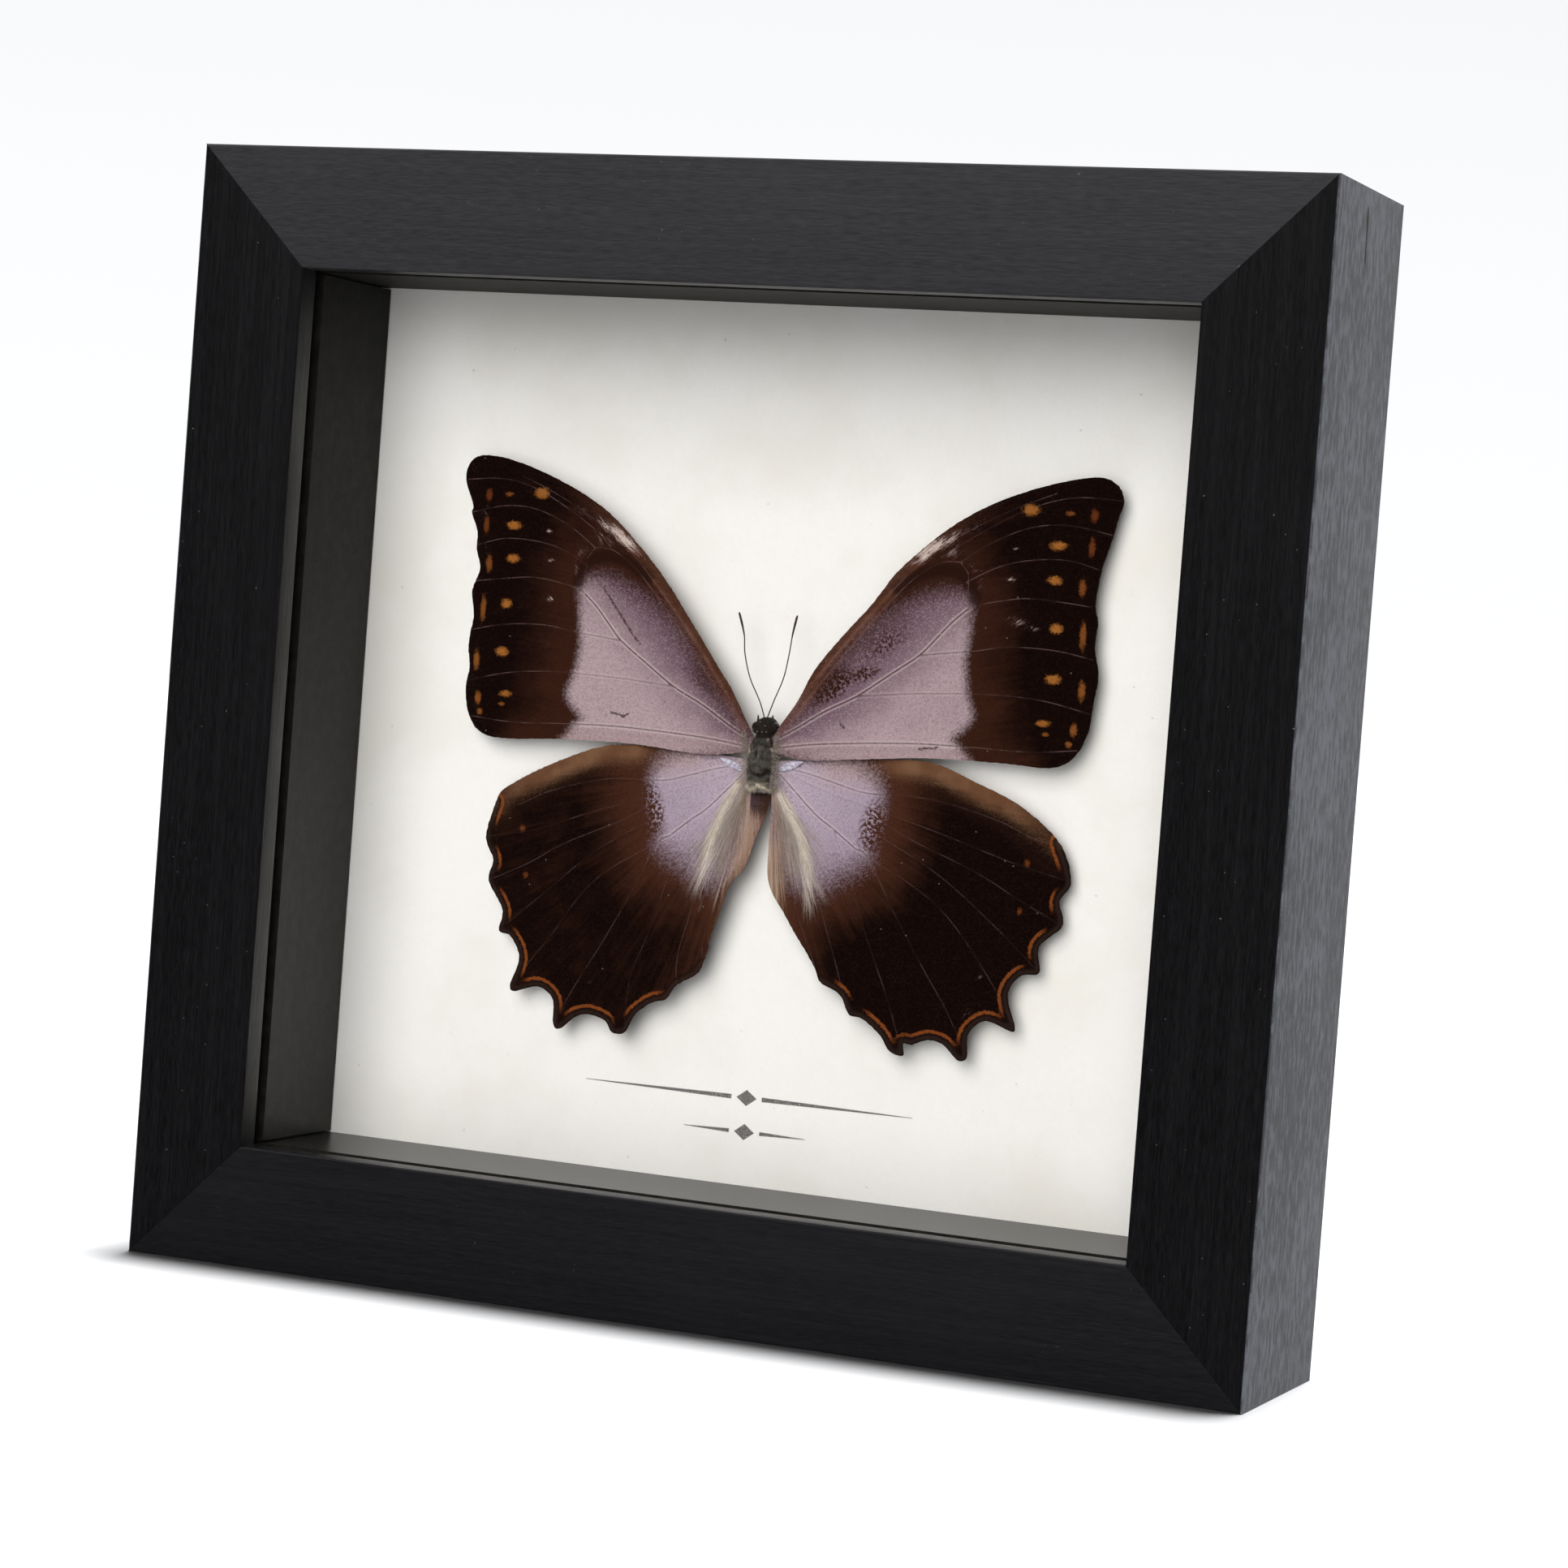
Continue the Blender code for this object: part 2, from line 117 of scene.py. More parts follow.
RIGHT_HINDWING = [
    (2.8, 1.0), (9.0, 1.6), (20.2, 2.2), (27.0, 2.1), (34.2, -0.5), (41.0, -3.5), (47.1, -8.5),
    (49.1, -14.1), (47.6, -17.0), (48.2, -20.6), (44.9, -23.9), (45.1, -27.7), (42.3, -28.4),
    (40.5, -31.3), (41.9, -35.9), (41.3, -36.6), (38.9, -35.7), (36.9, -35.5), (34.8, -37.6),
    (34.8, -41.0), (33.4, -41.5), (31.0, -39.4), (28.6, -38.9), (26.1, -39.8), (24.8, -39.7),
    (24.9, -41.5), (22.8, -41.1), (21.0, -38.7), (18.2, -36.6), (16.0, -36.0), (14.4, -33.3),
    (11.1, -31.6), (9.8, -29.1), (5.3, -22.6), (2.1, -17.5), (1.7, -12.0), (1.8, -5.2),
    (1.4, -3.0), (1.4, 0.8)]
LEFT_HINDWING = [
    (2.8, 1.0), (9.0, 1.5), (20.4, 2.1), (27.4, 1.5), (36.3, -1.9), (43.4, -5.7), (45.0, -8.0),
    (46.5, -13.4), (45.0, -17.0), (45.6, -20.2), (42.9, -24.5), (43.3, -27.8), (41.2, -28.6),
    (39.5, -31.8), (40.8, -36.0), (40.2, -37.0), (38.0, -36.4), (35.6, -36.0), (33.2, -37.7),
    (32.9, -41.4), (31.7, -42.1), (29.2, -40.1), (26.8, -39.5), (24.0, -40.3), (22.7, -41.9),
    (20.5, -41.7), (18.9, -38.9), (16.3, -36.9), (13.9, -36.1), (12.3, -33.9), (9.4, -32.2),
    (8.1, -30.4), (5.8, -23.1), (4.1, -18.0), (2.0, -15.2), (0.6, -10.9), (-0.8, -7.3),
    (-1.5, -5.1), (-1.6, -2.8), (1.4, -2.2), (1.4, 0.8)]

# Where the leading edge ends and the hind or inner margin begins, as places in the lists above.
FORE_MARGIN = (12, 24)
HIND_MARGIN = (6, 31)

# Veins of the right wings. The last point of a hindwing's vein is a tip of its scalloped edge.
FORE_VEINS = [
    [(3.0, 5.6), (8.3, 13.6), (16.5, 23.7), (24.0, 31.6), (31.0, 36.4), (38.0, 40.0), (44.0, 42.4)],
    [(3.0, 5.0), (9.0, 12.8), (16.0, 21.6), (22.5, 28.7), (27.0, 31.6), (30.0, 31.8)],
    [(27.0, 32.4), (33.5, 36.6), (40.5, 40.2), (47.0, 41.9), (53.9, 41.7)],
    [(30.0, 31.8), (34.7, 34.9), (40.6, 37.3), (46.4, 37.8), (52.9, 36.6)],
    [(31.0, 28.9), (35.7, 31.3), (40.6, 32.5), (46.4, 32.7), (51.6, 31.4)],
    [(30.0, 31.8), (31.2, 30.3), (31.4, 27.6), (31.8, 25.2)],
    [(31.8, 25.2), (34.0, 25.9), (40.0, 26.9), (45.5, 26.6), (50.9, 26.0)],
    [(3.0, 4.6), (5.5, 6.0), (10.0, 8.8), (14.9, 11.3), (19.9, 14.7), (24.3, 17.8), (26.8, 20.4),
     (29.2, 23.0), (31.8, 25.2)],
    [(24.3, 17.8), (28.0, 18.3), (33.0, 18.9), (38.0, 19.7), (45.0, 19.5), (51.0, 18.4)],
    [(14.9, 11.3), (20.0, 11.8), (25.0, 12.2), (35.0, 12.6), (43.5, 12.1), (51.3, 10.4)],
    [(3.0, 3.0), (7.0, 3.6), (12.0, 4.1), (20.0, 4.6), (26.0, 4.8), (34.0, 4.7), (42.0, 4.5), (49.2, 5.1)],
]
HIND_VEINS = [
    ([(3.0, 0.0), (7.0, -0.5), (12.8, -2.0), (17.3, -3.0), (27.0, -3.3), (37.0, -5.6), (44.0, -8.4)], 6),
    ([(4.0, -0.8), (12.0, -3.6), (20.0, -5.7), (30.0, -8.6), (40.0, -11.8)], 7),
    ([(18.5, -6.4), (24.0, -9.3), (34.6, -13.6), (41.0, -17.0)], 9),
    ([(19.0, -9.0), (29.0, -14.5), (38.0, -21.4)], 11),
    ([(17.8, -12.5), (25.5, -16.6), (31.0, -20.9), (37.0, -28.4)], 14),
    ([(3.0, -1.0), (8.9, -6.5), (12.0, -8.6), (15.8, -11.4), (17.8, -12.5), (21.9, -19.8), (27.0, -28.0),
      (31.3, -34.4)], 19),
    ([(12.0, -8.6), (15.5, -17.0), (18.4, -25.0), (22.0, -33.5)], 25),
    ([(3.2, -2.4), (7.6, -10.0), (10.6, -20.0), (13.6, -29.0)], 29),
    ([(3.0, -3.0), (4.6, -12.0), (6.8, -21.0), (9.2, -27.0)], 31),
]

# Lilac patches of the right wings.
FORE_LILAC = [
    (2.0, 2.0), (4.0, 5.6), (8.0, 9.8), (11.5, 14.0), (14.0, 17.8), (17.4, 21.4), (22.0, 24.6), (26.4, 26.6),
    (29.8, 27.0), (31.8, 25.8), (31.7, 21.0), (31.3, 17.0), (31.9, 12.6), (32.9, 9.4), (31.6, 7.3),
    (30.0, 5.8), (31.6, 4.0), (31.4, 0.5)]
HIND_LILAC = [
    (1.0, 1.4), (8.0, 1.8), (14.0, 1.2), (17.4, -0.4), (19.2, -2.6), (19.7, -5.0), (19.2, -8.0),
    (18.2, -10.6), (17.6, -12.4), (14.8, -13.8), (12.4, -15.0), (10.0, -16.4), (7.2, -16.4), (4.0, -12.6),
    (2.4, -7.0), (2.0, -3.4)]

# Spots of the right forewing: centre, half length, half height, redness.
ORANGE_SPOTS = [
    (40.3, 39.9, 1.25, 0.85, 0.15), (46.2, 39.6, 0.75, 0.36, 0.75), (44.8, 34.8, 1.25, 0.66, 0.1),
    (44.5, 29.7, 1.1, 0.66, 0.1), (45.0, 22.7, 0.95, 0.72, 0.05), (45.0, 15.3, 1.15, 0.72, 0.05),
    (43.8, 8.8, 1.05, 0.5, 0.2), (44.3, 7.2, 0.6, 0.3, 0.6)]
MARGIN_BARS = [
    (49.9, 39.4, 0.6, 1.0, 1.0), (49.8, 34.7, 0.5, 1.4, 0.95), (48.7, 28.8, 0.55, 1.3, 0.7),
    (49.1, 21.8, 0.5, 2.0, 0.6), (49.4, 13.8, 0.55, 1.5, 0.5), (48.5, 8.0, 0.55, 1.0, 0.5),
    (47.9, 5.9, 0.5, 0.5, 0.5)]
HIND_SPOTS = [(42.4, -11.8, 0.55, 0.6, 0.9), (41.6, -18.9, 0.45, 0.6, 0.9)]

# Pale and worn places: centre, half length, half height, turn in degrees, strength.
FORE_SCUFFS = [
    (25.2, 33.4, 3.9, 1.05, 38.0, 1.0), (28.4, 35.2, 2.6, 0.8, 40.0, 0.75), (28.6, 33.4, 2.2, 1.3, 20.0, 0.5),
    (32.4, 37.2, 2.6, 0.7, 32.0, 0.4), (32.2, 31.0, 1.5, 0.9, -30.0, 0.42), (33.2, 28.6, 0.7, 1.6, 0.0, 0.36),
    (38.4, 34.1, 0.7, 0.3, 0.0, 0.75), (37.8, 29.6, 0.75, 0.4, 0.0, 0.75)]
RIGHT_SCUFFS = [(39.2, 23.4, 2.2, 0.9, -12.0, 0.5), (41.6, 22.6, 0.9, 0.5, 0.0, 0.6)]
LEFT_SCUFFS = [(36.9, 23.7, 0.8, 0.55, 0.0, 0.75), (37.2, 16.4, 0.5, 0.4, 0.0, 0.5),
               (49.0, 36.5, 0.9, 1.6, 10.0, 0.35)]
RIGHT_HIND_SCUFFS = [(36.0, -29.0, 0.6, 0.5, 0, 0.5), (34.6, -34.5, 1.6, 1.2, 40, 0.32)]
LEFT_HIND_SCUFFS = [(27.0, -34.5, 0.6, 0.5, 0, 0.4)]
FORE_RUBBED = [(16.5, 14.6, 3.2, 1.5, 20.0, 1.0), (11.6, 12.6, 3.4, 1.6, 40.0, 0.9),
               (20.0, 19.0, 5.0, 2.4, 35.0, 0.7)]

# A dark line in the right forewing, outside the lilac's upper edge.
GLOOM_LINE = [(20.5, 27.6), (23.5, 29.6), (27.0, 30.6), (30.0, 30.2), (32.0, 28.4), (32.5, 26.6)]

# Dark cracks and folds in the lilac.
RIGHT_CRACKS = [[(12.3, 7.4), (13.1, 6.5)], [(17.0, 14.9), (18.3, 15.4)], [(25.0, 4.0), (28.0, 4.4)]]
LEFT_CRACKS = [[(27.8, 25.9), (25.4, 22.8), (22.4, 18.9), (20.8, 17.4)], [(23.2, 6.4), (25.4, 6.9)],
               [(22.4, 6.9), (23.4, 6.2)]]

# Bright hairy ridges of the hindwings, and the line on which the left one is folded.
RIGHT_RIDGE = [(2.9, -3.7), (5.2, -7.0), (7.1, -10.6), (8.4, -15.6), (9.1, -20.4), (10.4, -25.0)]
LEFT_RIDGE = [(3.4, -2.6), (4.6, -4.6), (5.9, -7.6), (7.3, -10.8), (8.4, -15.6), (9.1, -19.3), (9.3, -22.6)]
LEFT_FOLD = [(1.6, -3.6), (1.9, -6.0), (2.1, -9.7), (2.6, -13.4), (4.0, -16.5), (5.2, -19.0),
             (6.3, -22.7), (7.3, -27.0)]

RIGHT_ANTENNA = [(0.5, 7.4), (1.4, 9.9), (2.8, 13.5), (3.5, 17.1), (3.9, 20.1), (4.5, 22.9)]
LEFT_ANTENNA = [(0.0, 7.4), (-0.9, 9.8), (-2.7, 13.3), (-3.7, 16.8), (-4.0, 19.7), (-5.0, 23.0)]

# The camera, solved from the frame's corners in the photograph.
CAMERA_PLACE = (240.4, -559.6, 100.4)
CAMERA_YAW = math.radians(22.654)
CAMERA_PITCH = math.radians(1.932)
CAMERA_ROLL = math.radians(4.327)
CAMERA_LENS = 94.09


class Value:
    """A shader socket that can be used in an expression."""

    def __init__(self, tree, socket):
        self.tree = tree
        self.socket = socket

    def math(self, operation, *others):
        """One maths node on this value and others, which may be plain numbers."""
        node = self.tree.nodes.new("ShaderNodeMath")
        node.operation = operation
        for slot, term in zip(node.inputs, (self, *others)):
            if isinstance(term, Value):
                self.tree.links.new(term.socket, slot)
            else:
                slot.default_value = term
        return Value(self.tree, node.outputs[0])

    def __add__(self, other):
        return self.math("ADD", other)

    def __sub__(self, other):
        return self.math("SUBTRACT", other)

    def __mul__(self, other):
        return self.math("MULTIPLY", other)

    def __rsub__(self, other):
        return (self * -1.0) + other

    __radd__ = __add__
    __rmul__ = __mul__

    def ramp(self, low, high):
        """0 below low, 1 above high, smooth between; low may be above high to turn it round."""
        node = self.tree.nodes.new("ShaderNodeMapRange")
        node.interpolation_type = "SMOOTHSTEP"
        node.inputs["From Min"].default_value = low
        node.inputs["From Max"].default_value = high
        self.tree.links.new(self.socket, node.inputs["Value"])
        return Value(self.tree, node.outputs["Result"])

    def larger(self, other):
        """The larger of two values."""
        return self.math("MAXIMUM", other)

    def size(self):
        """The value without its sign."""
        return self.math("ABSOLUTE")


class Finish:
    """A material and the few ways in which this script adds nodes to it."""

    def __init__(self, name, roughness=0.5, **sockets):
        self.material = bpy.data.materials.new(name)
        self.material.use_nodes = True
        self.tree = self.material.node_tree
        self.shader = self.tree.nodes["Principled BSDF"]
        self.shader.inputs["Roughness"].default_value = roughness
        for socket, value in sockets.items():
            self.shader.inputs[socket.replace("_", " ")].default_value = value

    def add(self, kind, output=0, settings=None, **sockets):
        """Add a node, set it and its sockets, and return one of its outputs."""
        node = self.tree.nodes.new("ShaderNode" + kind)
        for name, value in (settings or {}).items():
            setattr(node, name, value)
        for name, value in sockets.items():
            slot = node.inputs[name.replace("_", " ")]
            if isinstance(value, Value):
                self.tree.links.new(value.socket, slot)
            else:
                slot.default_value = value
        return Value(self.tree, node.outputs[output])

    def place(self, scale=(1.0, 1.0, 1.0)):
        """Position on the object in millimetres, each axis times a scale."""
        source = self.add("TexCoord", output="Object")
        factors = tuple(s / MM for s in scale)
        node = self.tree.nodes.new("ShaderNodeVectorMath")
        node.operation = "MULTIPLY"
        node.inputs[1].default_value = factors
        self.tree.links.new(source.socket, node.inputs[0])
        return Value(self.tree, node.outputs[0])

    def axes(self, vector):
        """The three numbers of a vector."""
        node = self.tree.nodes.new("ShaderNodeSeparateXYZ")
        self.tree.links.new(vector.socket, node.inputs[0])
        return [Value(self.tree, out) for out in node.outputs]

    def noise(self, vector, scale, detail=2.0, roughness=0.5):
        """Noise in space."""
        return self.add("TexNoise", Vector=vector, Scale=scale, Detail=detail, Roughness=roughness)

    def flat_noise(self, vector, scale, detail, roughness=0.5):
        """Noise over the first two numbers of a vector."""
        return self.add("TexNoise", settings={"noise_dimensions": "2D"}, Vector=vector, Scale=scale,
                        Detail=detail, Roughness=roughness)

    def attribute(self, name, output="Fac"):
        """A value that the mesh keeps on its points."""
        return self.add("Attribute", output=output, settings={"attribute_name": name})

    def blend(self, factor, first, second):
        """A colour between two: each a tuple or another blend."""
        node = self.tree.nodes.new("ShaderNodeMix")
        node.data_type = "RGBA"
        for slot, value in ((node.inputs[0], factor), (node.inputs[6], first), (node.inputs[7], second)):
            if isinstance(value, Value):
                self.tree.links.new(value.socket, slot)
            elif isinstance(value, tuple):
                slot.default_value = (*value, 1.0)
            else:
                slot.default_value = value
        return Value(self.tree, node.outputs[2])

    def feed(self, socket, value):
        """Link a value to one of the shader's own sockets."""
        self.tree.links.new(value.socket, self.shader.inputs[socket])

    def bump(self, height, distance, strength=1.0):
        """Relief: a height of 1 stands up by distance millimetres."""
        node = self.tree.nodes.new("ShaderNodeBump")
        node.inputs["Distance"].default_value = distance * MM
        node.inputs["Strength"].default_value = strength
        self.tree.links.new(height.socket, node.inputs["Height"])
        self.tree.links.new(node.outputs[0], self.shader.inputs["Normal"])


def put_on(obj, finish):
    """Give an object one finish, in place of what it had."""
    obj.data.materials.clear()
    obj.data.materials.append(finish.material)


def black_wood_finish(name, along, lightness):
    """Black stained wood; along is the axis of its grain."""
    finish = Finish(name, roughness=0.4, Specular_IOR_Level=0.5)
    grain_scale = [1.0, 1.0, 1.0]
    grain_scale[along] = 0.1
    long_scale = [1.0, 1.0, 1.0]
    long_scale[along] = 0.022
    place = finish.place()
    fleck = finish.noise(finish.place(tuple(grain_scale)), 3.6, detail=3.0, roughness=0.65)
    streak = finish.noise(finish.place(tuple(long_scale)), 1.5, detail=4.0, roughness=0.6)
    broad = finish.noise(place, 0.03, detail=2.0)
    tooth = finish.noise(place, 4.0, detail=2.0, roughness=0.7)
    light = (0.0105 * lightness, 0.0102 * lightness, 0.0118 * lightness)
    dark = (0.0030 * lightness, 0.0029 * lightness, 0.0035 * lightness)
    colour = finish.blend(fleck.ramp(0.36, 0.66) * 0.6 + streak.ramp(0.4, 0.7) * 0.3, dark, light)
    colour = finish.blend(broad.ramp(0.5, 0.75) * 0.2, colour, light)
    # Specks of dust.
    dust = finish.noise(place, 2.2, detail=0.0).ramp(0.89, 0.905)
    colour = finish.blend(dust * 0.12, colour, (0.25, 0.26, 0.27))
    x, y, z = finish.axes(place)
    # Pale chips at the foot of the right front corner.
    corner = x.ramp(WIDTH / 2 - 0.9, WIDTH / 2) * z.ramp(5.0, 0.0) * (y + 4.0).ramp(22.0, 0.0)
    chips = (corner * 0.24 + tooth).ramp(0.79, 0.88)
    colour = finish.blend(chips * 0.8, colour, (0.36, 0.36, 0.37))
    if along == 2:
        # The outer sides are painted a mottled blue-grey: a painted sheen of the bright room at a grazing
        # angle, broken up like rubbed paint.
        side = x.size().ramp(WIDTH / 2 - 0.35, WIDTH / 2 - 0.1)
        smudge = finish.noise(finish.place((1.0, 0.8, 0.3)), 1.1, detail=3.0, roughness=0.6)
        rub_and_sheen = smudge + (streak - 0.5) * 0.7 + (tooth - 0.5) * 0.3 + (broad - 0.5) * 0.4
        rub_and_sheen = rub_and_sheen.ramp(0.36, 0.66)
        colour = finish.blend(side * (rub_and_sheen * 0.66 + 0.28), colour, (0.090, 0.096, 0.113))
    else:
        # Painted shade and light: the bottom rail is darkened and the top rail lightened, flecked along the
        # grain, as the light from above falls on them.
        colour = finish.blend(z.ramp(HEIGHT - FACE_WIDTH, FACE_WIDTH) * 0.6, colour, dark)
        colour = finish.blend(z.ramp(HEIGHT / 2, HEIGHT) * (fleck * 0.2 + 0.1), colour, (0.052, 0.050, 0.054))
    # One dark scratch down the right side, near the top.
    scratch_line = (y + (z - HEIGHT + 6.0) * 0.05 + 1.8 + (streak - 0.5) * 1.4).size()
    scratch = scratch_line.ramp(0.32, 0.1) * z.ramp(HEIGHT - 11.0, HEIGHT - 10.0)
    scratch = scratch * z.ramp(HEIGHT - 2.4, HEIGHT - 3.2) * x.ramp(WIDTH / 2 - 1.0, WIDTH / 2 - 0.3)
    colour = finish.blend(scratch, colour, (0.004, 0.004, 0.005))
    finish.feed("Base Color", colour)
    rough = fleck.ramp(0.4, 0.62) * -0.08 + streak * 0.24 + chips * 0.3 + scratch * 0.4 + 0.34
    if along == 2:
        rough = rough + side * 0.2
    finish.feed("Roughness", rough)
    finish.bump(fleck * 0.7 + streak * 0.5 + tooth * 0.25 - scratch, 0.09, strength=0.8)
    return finish


def spacer_finish():
    """Dull black paint that has gone a little brown, with dust on it."""
    finish = Finish("spacer_black", roughness=0.3, Specular_IOR_Level=0.16)
    cloud = finish.noise(finish.place(), 0.5, detail=4.0, roughness=0.65)
    fine = finish.noise(finish.place(), 5.0, detail=2.0)
    colour = finish.blend(cloud.ramp(0.35, 0.7), (0.007, 0.0066, 0.006), (0.016, 0.0148, 0.0125))
    colour = finish.blend(fine.ramp(0.62, 0.75) * 0.4, colour, (0.05, 0.047, 0.041))
    finish.feed("Base Color", colour)
    # The top stick is the dullest.
    height = finish.axes(finish.place())[2]
    finish.feed("Roughness", height.ramp(HEIGHT * 0.2, HEIGHT * 0.9) * 0.33 + 0.29)
    finish.bump(fine, 0.03, strength=0.6)
    return finish


def glass_finish():
    """Clear flat glass."""
    return Finish("picture_glass", roughness=0.0, Transmission_Weight=1.0, IOR=1.45,
                  Base_Color=(0.985, 0.992, 0.988, 1.0))


def card_finish(settings):
    """Off-white card with parchment mottling and two printed rules."""
    finish = Finish("specimen_card", roughness=0.86)
    place = finish.place()
    x, _, z = finish.axes(place)
    cloud = finish.noise(place, 0.045, detail=5.0, roughness=0.6)
    fibre = finish.noise(place, 2.2, detail=4.0, roughness=0.7)
    fleck = finish.noise(place, 0.9, detail=1.0)
    colour = finish.blend(cloud.ramp(0.38, 0.68), tuple(settings.card_colour), tuple(settings.card_mottle))
    colour = finish.blend(fibre.ramp(0.3, 0.75) * 0.16, colour, (0.60, 0.58, 0.53))
    colour = finish.blend(fleck.ramp(0.79, 0.82) * 0.35, colour, (0.2, 0.17, 0.13))
    ink = swelled_rule(x, z, settings.ornament_height, 27.0)
    ink = ink.larger(swelled_rule(x, z, settings.ornament_height - 5.2, 10.0))
    ragged = finish.noise(place, 6.0, detail=2.0).ramp(0.2, 0.5)
    colour = finish.blend(ink * ragged * 0.92, colour, (0.035, 0.03, 0.027))
    finish.feed("Base Color", colour)
    finish.bump(fibre, 0.05, strength=0.5)
    return finish


def swelled_rule(x, z, height, reach):
    """1 on the ink of a rule that swells in the middle and thins to its ends, with a gap and a lozenge."""
    along = x.size()
    up = (z - height).size()
    swell = (1.0 - along * (1.0 / reach)) * 0.34 + 0.05
    rule = (swell - up).ramp(-0.05, 0.06) * along.ramp(2.4, 2.6) * along.ramp(reach + 0.1, reach - 0.1)
    lozenge = (1.25 - along * 0.75 - up).ramp(-0.05, 0.06)
    return rule.larger(lozenge)


def hardboard_finish():
    """Brown pressed board with a leathery face."""
    finish = Finish("brown_hardboard", roughness=0.7)
    place = finish.place()
    fibre = finish.noise(place, 1.6, detail=6.0, roughness=0.7)
    cloud = finish.noise(place, 0.05, detail=3.0)
    colour = finish.blend(fibre.ramp(0.3, 0.7), (0.12, 0.066, 0.032), (0.235, 0.145, 0.078))
    colour = finish.blend(cloud.ramp(0.4, 0.7) * 0.4, colour, (0.17, 0.11, 0.062))
    finish.feed("Base Color", colour)
    finish.bump(fibre, 0.08, strength=0.7)
    return finish


def steel_finish():
    """Zinc-plated sheet steel with a cloudy spangle."""
    finish = Finish("zinc_steel", roughness=0.38, Metallic=1.0)
    spangle = finish.noise(finish.place(), 0.8, detail=3.0, roughness=0.6)
    finish.feed("Base Color", finish.blend(spangle, (0.42, 0.42, 0.41), (0.66, 0.66, 0.64)))
    finish.feed("Roughness", spangle * 0.25 + 0.25)
    finish.bump(finish.noise(finish.place((1.0, 1.0, 6.0)), 3.0), 0.01, strength=0.4)
    return finish


def wing_finish(name, hind):
    """Wing scales: near-black brown, a lilac patch, orange marks, veins and worn places."""
    finish = Finish(name, roughness=0.6, Specular_IOR_Level=0.025)
    place = finish.attribute("wing_place", output="Vector")
    rays = finish.attribute("rays", output="Vector")
    cell = finish.add("TexVoronoi", output="Color", settings={"voronoi_dimensions": "2D"}, Vector=place,
                      Scale=7.0)
    speck = finish.axes(cell)[0]
    clump = finish.flat_noise(place, 1.9, 3.0, roughness=0.65)
    cloud = finish.flat_noise(place, 0.22, 3.0, roughness=0.55)
    streak = finish.flat_noise(rays, 1.0, 3.0, roughness=0.6)
    lilac = finish.attribute("lilac")
    shade = finish.attribute("shade")
    margin = finish.attribute("margin")
    vein = finish.attribute("vein")
    tan = finish.attribute("tan")
    pale = finish.attribute("pale")

    # The dark ground, warmer near the root.
    depth = (finish.attribute("depth") + (cloud - 0.5) * 0.5 + (streak - 0.5) * 0.5).ramp(0.0, 1.0)
    warm = (0.0500, 0.0167, 0.0092) if hind else (0.0290, 0.0092, 0.0050)
    brown = finish.blend(depth, warm, (0.0028, 0.0008, 0.0006))
    brown = finish.blend(speck.ramp(0.55, 1.0) * 0.07, brown, (0.045, 0.019, 0.013))
    brown = finish.blend(speck.ramp(0.4, 0.0) * 0.3, brown, (0.004, 0.0015, 0.001))

    tan_dark, tan_light = (0.096, 0.037, 0.021), (0.130, 0.056, 0.036)
    if hind:
        tan_dark, tan_light = (0.106, 0.047, 0.024), (0.150, 0.075, 0.040)
    tan_colour = finish.blend(cloud.ramp(0.3, 0.75), tan_dark, tan_light)
    tan_mask = (tan + (streak - 0.5) * 0.4 * tan.ramp(0.0, 0.3) + (speck - 0.5) * 0.25).ramp(0.0, 1.05)
    colour = finish.blend(tan_mask, brown, tan_colour)

    # The lilac patch, with rubbed places in it.
    mauve, pearl, blush = (0.128, 0.076, 0.100), (0.355, 0.266, 0.288), (0.310, 0.212, 0.212)
    if hind:
        mauve, pearl, blush = (0.285, 0.222, 0.285), (0.368, 0.297, 0.362), (0.350, 0.255, 0.252)
    patch_colour = finish.blend((shade + (cloud - 0.5) * 0.3).ramp(0.0, 1.0), mauve, pearl)
    patch_colour = finish.blend(finish.attribute("pink"), patch_colour, blush)
    patch_colour = finish.blend(clump.ramp(0.5, 0.25) * 0.3, patch_colour, mauve)
    thinned = (streak - clump * 0.3).ramp(0.42, 0.6)
    patch_colour = finish.blend(thinned * 0.16, patch_colour, (0.22, 0.14, 0.16))
    patch_colour = finish.blend(speck.ramp(0.6, 1.0) * 0.28, patch_colour, (0.47, 0.38, 0.42))
    patch_colour = finish.blend(speck.ramp(0.35, 0.0) * 0.42, patch_colour, (0.15, 0.09, 0.10))
    worn = finish.attribute("rub") * clump.ramp(0.42, 0.56)
    patch = (lilac + (speck - 0.5) * 0.3 + (clump - 0.5) * 0.9 - worn * 1.6).ramp(-0.75, 0.7)
    colour = finish.blend(patch, colour, patch_colour)

    # Dark lines and bands; on the left hindwing this also holds the painted shade under the body.
    gloom = (finish.attribute("gloom") + (clump - 0.5) * 0.5).ramp(0.1, 1.0)
    colour = finish.blend(gloom * 0.8, colour, (0.0125, 0.0042, 0.0028))

    # Pale scuffs, streaked along one direction.
    brushed = finish.flat_noise(finish.attribute("brushed", output="Vector"), 1.0, 3.0, roughness=0.65)
    scuff = (pale * 1.1 + (brushed - 0.5) * 2.0 + (speck - 0.5) * 0.3 - 0.2).ramp(0.15, 0.95)
    scuff = scuff * pale.ramp(0.0, 0.4)
    scuff_colour = finish.blend(pale.ramp(0.3, 0.85), (0.17, 0.10, 0.10), (0.60, 0.48, 0.43))
    colour = finish.blend(scuff * 0.85, colour, scuff_colour)

    # Orange and rust spots.
    spot = finish.attribute("spot")
    red = finish.attribute("red")
    inked = (spot + (clump - 0.5) * 0.9 + (speck - 0.5) * 0.3).ramp(0.2, 1.05)
    flame = finish.blend(red, (0.290, 0.106, 0.021), (0.130, 0.031, 0.009))
    flame = finish.blend(speck.ramp(0.5, 0.0) * 0.45, flame, (0.13, 0.04, 0.010))
    colour = finish.blend(inked * (1.0 - red * 0.35), colour, flame)

